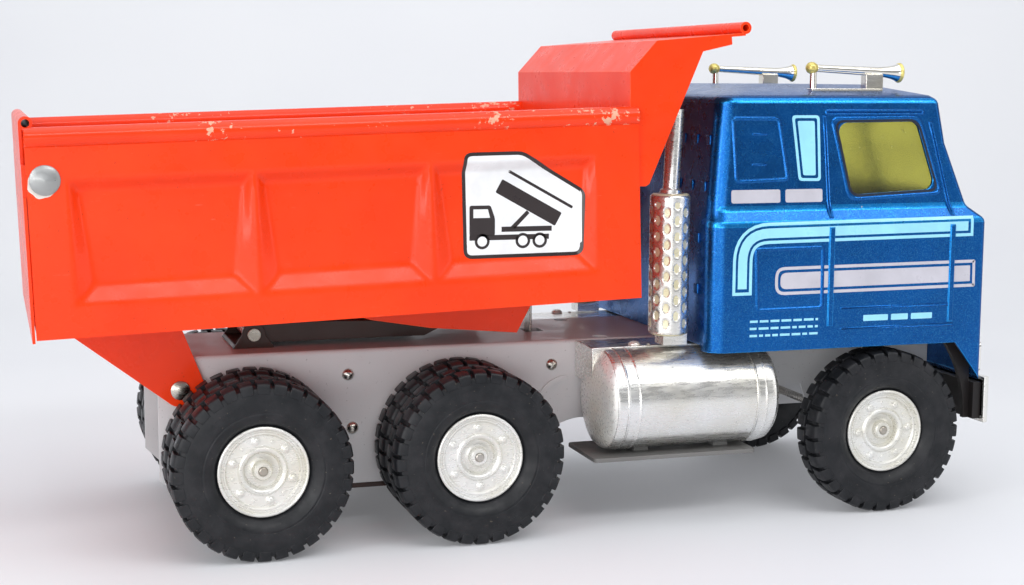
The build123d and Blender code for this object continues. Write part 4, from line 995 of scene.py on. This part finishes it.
# ---------------------------------------------------------------- tanks, stacks, horns
tank_y, tank_z, tank_r = 49.3, 49.1, 19.7
for side_name, side in (("right", -1), ("left", 1)):
    tank = Shape()
    body_profile = [(22.0, 0.1), (22.3, 8.0), (23.0, 14.0), (24.4, 17.6), (26.4, 19.3),
                    (28.0, 19.7), (90.6, 19.7), (92.8, 19.2), (94.6, 17.4), (95.6, 14.0),
                    (96.0, 8.0), (96.0, 0.1)]
    tank.revolve(body_profile[4:9], (0, side * tank_y, tank_z), (1, 0, 0), 88, 0)
    tank.revolve(body_profile[:5], (0, side * tank_y, tank_z), (1, 0, 0), 88, 1)
    tank.revolve(body_profile[8:], (0, side * tank_y, tank_z), (1, 0, 0), 88, 1)
    for first, last in ((30.2, 35.9), (84.2, 88.8)):
        tank.revolve([(first, 19.5), (first, 20.1), (first + 0.5, 20.2), (first + 0.9, 19.85),
                      (last - 0.9, 19.85), (last - 0.5, 20.2), (last, 20.1), (last, 19.5)],
                     (0, side * tank_y, tank_z), (1, 0, 0), 88, 0)
    tank.box((22.4, min(side * 29.9, side * 49.6), 55.0), (95.6, max(side * 29.9, side * 49.6), 69.4), 0)
    for x in (41.0, 47.0):
        tank.revolve([(69.4, 2.5), (70.2, 2.3), (70.9, 1.4), (71.1, 0.1)] if x < 45 else
                     [(69.4, 0.9), (69.8, 0.6), (69.9, 0.05)], (x, side * 46.8, 0), (0, 0, 1), 20, 1)
    piece = finish_piece(f"fuel_tank_{side_name}_plated", tank.mesh(f"fuel_tank_{side_name}"),
                         "chassis", (cloudy, cream), (f"fuel_tank_{side_name}",))
    soften(piece, 0.6)

    stack = Shape()
    muffler_r, low_z, high_z = 7.9, 73.7, 129.3
    around, levels = 132, 150
    rings = []
    for level in range(levels + 1):
        z = low_z + (high_z - low_z) * level / levels
        edge = min(z - low_z, high_z - z)
        radius = muffler_r - 1.5 * (1 - min(edge / 1.5, 1)) ** 2
        ring = []
        for index in range(around):
            turn = 2 * math.pi * index / around
            column = turn / (2 * math.pi) * 12
            dip = 0.0
            for near in (math.floor(column), math.floor(column) + 1):
                across = (column - near) * 2 * math.pi / 12 * muffler_r
                for row in range(8):
                    centre = low_z + 5.0 + 6.2 * row + (3.1 if near % 2 else 0.0)
                    gap = math.hypot(across / 1.35, (z - centre) / 2.05)
                    if gap < 1.2:
                        share = min(max((1.2 - gap) / 0.42, 0.0), 1.0)
                        dip = max(dip, 0.42 * share * share * (3 - 2 * share))
            r = radius - (dip if 3 < edge else 0.0)
            ring.append(stack.bm.verts.new(Vector((53.9 + r * math.cos(turn),
                                                   side * 50.0 + r * math.sin(turn), z)) * MM))
        rings.append(ring)
    for low, high in zip(rings, rings[1:]):
        for i in range(around):
            j = (i + 1) % around
            face = stack.bm.faces.new((low[i], low[j], high[j], high[i]))
            away = [math.hypot(v.co.x / MM - 53.9, v.co.y / MM - side * 50.0) for v in face.verts]
            face.material_index = 1 if sum(away) / 4 < muffler_r - 0.3 else 0
    stack.bm.faces.new(rings[0])
    stack.bm.faces.new(rings[-1])
    axis = Vector((0.05, 0, 1)).normalized()
    stack.revolve([(0.0, 3.2), (35.6, 3.2), (35.9, 3.0), (35.9, 2.3), (28.0, 2.2), (0.0, 2.2)],
                  (53.9, side * 50.0, 126.0), axis, 40, 0, True)
    stack.revolve([(0, 4.4), (1.4, 4.2), (1.8, 3.4), (2.4, 3.2)], (53.9 + 0.17, side * 50, 129.2),
                  axis, 40, 0)
    stack.box((50.4, min(side * 45.2, side * 53.8), 69.9), (60.4, max(side * 45.2, side * 53.8), 74.5), 0)
    finish_piece(f"exhaust_stack_{side_name}_plated", stack.mesh(f"exhaust_stack_{side_name}"),
                 "chassis", (cloudy, straw), (f"exhaust_stack_{side_name}",))

    horn = Shape()
    y, aim = side * 47.0, (1, 0, -0.045)
    mouth = (115.4, y, 178.0)
    horn.revolve([(-2.6, 0.1), (-2.4, 1.1), (-1.7, 2.0), (-0.6, 2.4), (0.5, 2.35), (1.4, 1.9),
                  (2.0, 1.5)], mouth, aim, 32, 1)
    horn.revolve([(2.0, 1.45), (30.0, 1.9), (33.0, 2.2), (35.5, 2.6), (37.4, 3.2), (38.3, 3.6)],
                 mouth, aim, 40, 0)
    horn.revolve([(38.2, 3.6), (38.9, 3.98), (39.4, 4.0), (39.7, 3.7), (39.4, 3.2), (37.2, 1.6),
                  (37.0, 0.1)], mouth, aim, 40, 1)
    horn.revolve([(168.8, 1.5), (176.4, 1.3)], (116.0, y, 0), (0, 0, 1), 20, 0)
    horn.box((138.6, y - 2.3, 168.8), (146.2, y + 2.3, 175.6), 0)
    horn.box((113.6, y - 3.9, 168.4), (145.2, y + 3.9, 169.9), 0)
    piece = finish_piece(f"air_horn_{side_name}_plated", horn.mesh(f"air_horn_{side_name}"),
                         "chassis", (chrome, gold), (f"air_horn_{side_name}",))
    soften(piece, 0.5)

# ---------------------------------------------------------------- stage, light, camera
paper, tree, shader = start("paper_white", Roughness=0.6, Emission_Color=(0.95, 0.96, 1.0, 1.0),
                              Emission_Strength=0.12)
soft = spread(tree, noise(tree, place(tree), 3.0, 2), 0.3, 0.7)
tree.links.new(blend(tree, soft, (0.70, 0.71, 0.73), (0.66, 0.67, 0.70)), shader.inputs["Base Color"])
bump(tree, shader, noise(tree, place(tree), 400, 2), 0.05, 0.05)
sweep = Shape()
yaw = 0.3055
ahead = Vector((math.sin(yaw), math.cos(yaw), 0))
across = Vector((math.cos(yaw), -math.sin(yaw), 0))
curve = [(-1800, 0.0), (500, 0.0)] + [
    (500 + 500 * math.sin(t * math.pi / 24), 500 - 500 * math.cos(t * math.pi / 24))
    for t in range(1, 13)] + [(1000, 2200)]
rows = []
for along, height in curve:
    rows.append([sweep.bm.verts.new((ahead * along + across * s + Vector((0, 0, height))) * MM)
                 for s in (-3500, 3500)])
for low, high in zip(rows, rows[1:]):
    sweep.bm.faces.new((low[0], low[1], high[1], high[0]))
floor_mesh = sweep.mesh("floor")
floor_mesh.materials.append(paper)
floor_mesh.shade_smooth()
floor = bpy.data.objects.new("floor", floor_mesh)
bpy.context.scene.collection.objects.link(floor)
floor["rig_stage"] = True


def softbox(name, spot, aim, size, power, colour=(1, 1, 1)):
    data = bpy.data.lights.new(name, "AREA")
    data.shape = "RECTANGLE"
    data.size, data.size_y = size
    data.energy = power
    data.color = colour
    light = bpy.data.objects.new(name, data)
    bpy.context.scene.collection.objects.link(light)
    light.location = spot
    light.rotation_euler = (Vector(aim) - Vector(spot)).to_track_quat("-Z", "Y").to_euler()


softbox("overhead", (-0.05, -0.1, 1.2), (0, 0, 0), (1.6, 1.1), 7.8)
softbox("shoulder", (0.30, -0.95, 1.05), (0.1, 0, 0.1), (1.3, 0.24), 6)
softbox("front_left", (-0.95, -0.95, 0.70), (0, 0, 0.08), (0.6, 0.8), 3.4)
softbox("low_fill", (-0.75, -1.5, 0.22), (-0.02, 0, 0.03), (1.3, 0.36), 6)
softbox("side_strip", (-1.0, -0.55, 0.30), (0.06, -0.06, 0.12), (0.2, 0.9), 4)
softbox("front_right", (0.95, -0.75, 0.45), (0.1, 0, 0.1), (0.4, 0.9), 1.5)
softbox("backdrop", (0.2, 0.55, 1.1), (0.45, 1.4, 0.35), (1.8, 0.5), 1.0)

world = bpy.data.worlds.new("studio")
world.use_nodes = True
world.node_tree.nodes["Background"].inputs["Color"].default_value = (0.93, 0.95, 1.0, 1)
world.node_tree.nodes["Background"].inputs["Strength"].default_value = 0.36
bpy.context.scene.world = world

camera_data = bpy.data.cameras.new("camera")
camera_data.lens = 58.83
camera_data.sensor_width = 36
camera_data.clip_start, camera_data.clip_end = 0.01, 50
camera = bpy.data.objects.new("camera", camera_data)
bpy.context.scene.collection.objects.link(camera)
pitch, roll = 0.1282, 0.0048
forward = Vector((math.sin(yaw) * math.cos(pitch), math.cos(yaw) * math.cos(pitch),
                  -math.sin(pitch)))
right = Vector((math.cos(yaw), -math.sin(yaw), 0))
up = right.cross(forward)
rolled_right = right * math.cos(roll) + up * math.sin(roll)
rolled_up = up * math.cos(roll) - right * math.sin(roll)
turned = Matrix((rolled_right, rolled_up, -forward)).transposed()
camera.matrix_world = Matrix.Translation((-0.20079, -0.65319, 0.17392)) @ turned.to_4x4()
scene = bpy.context.scene
scene.camera = camera
scene.view_settings.view_transform = "Standard"
scene.view_settings.exposure = 0.0
scene.cycles.max_bounces = 8

low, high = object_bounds()
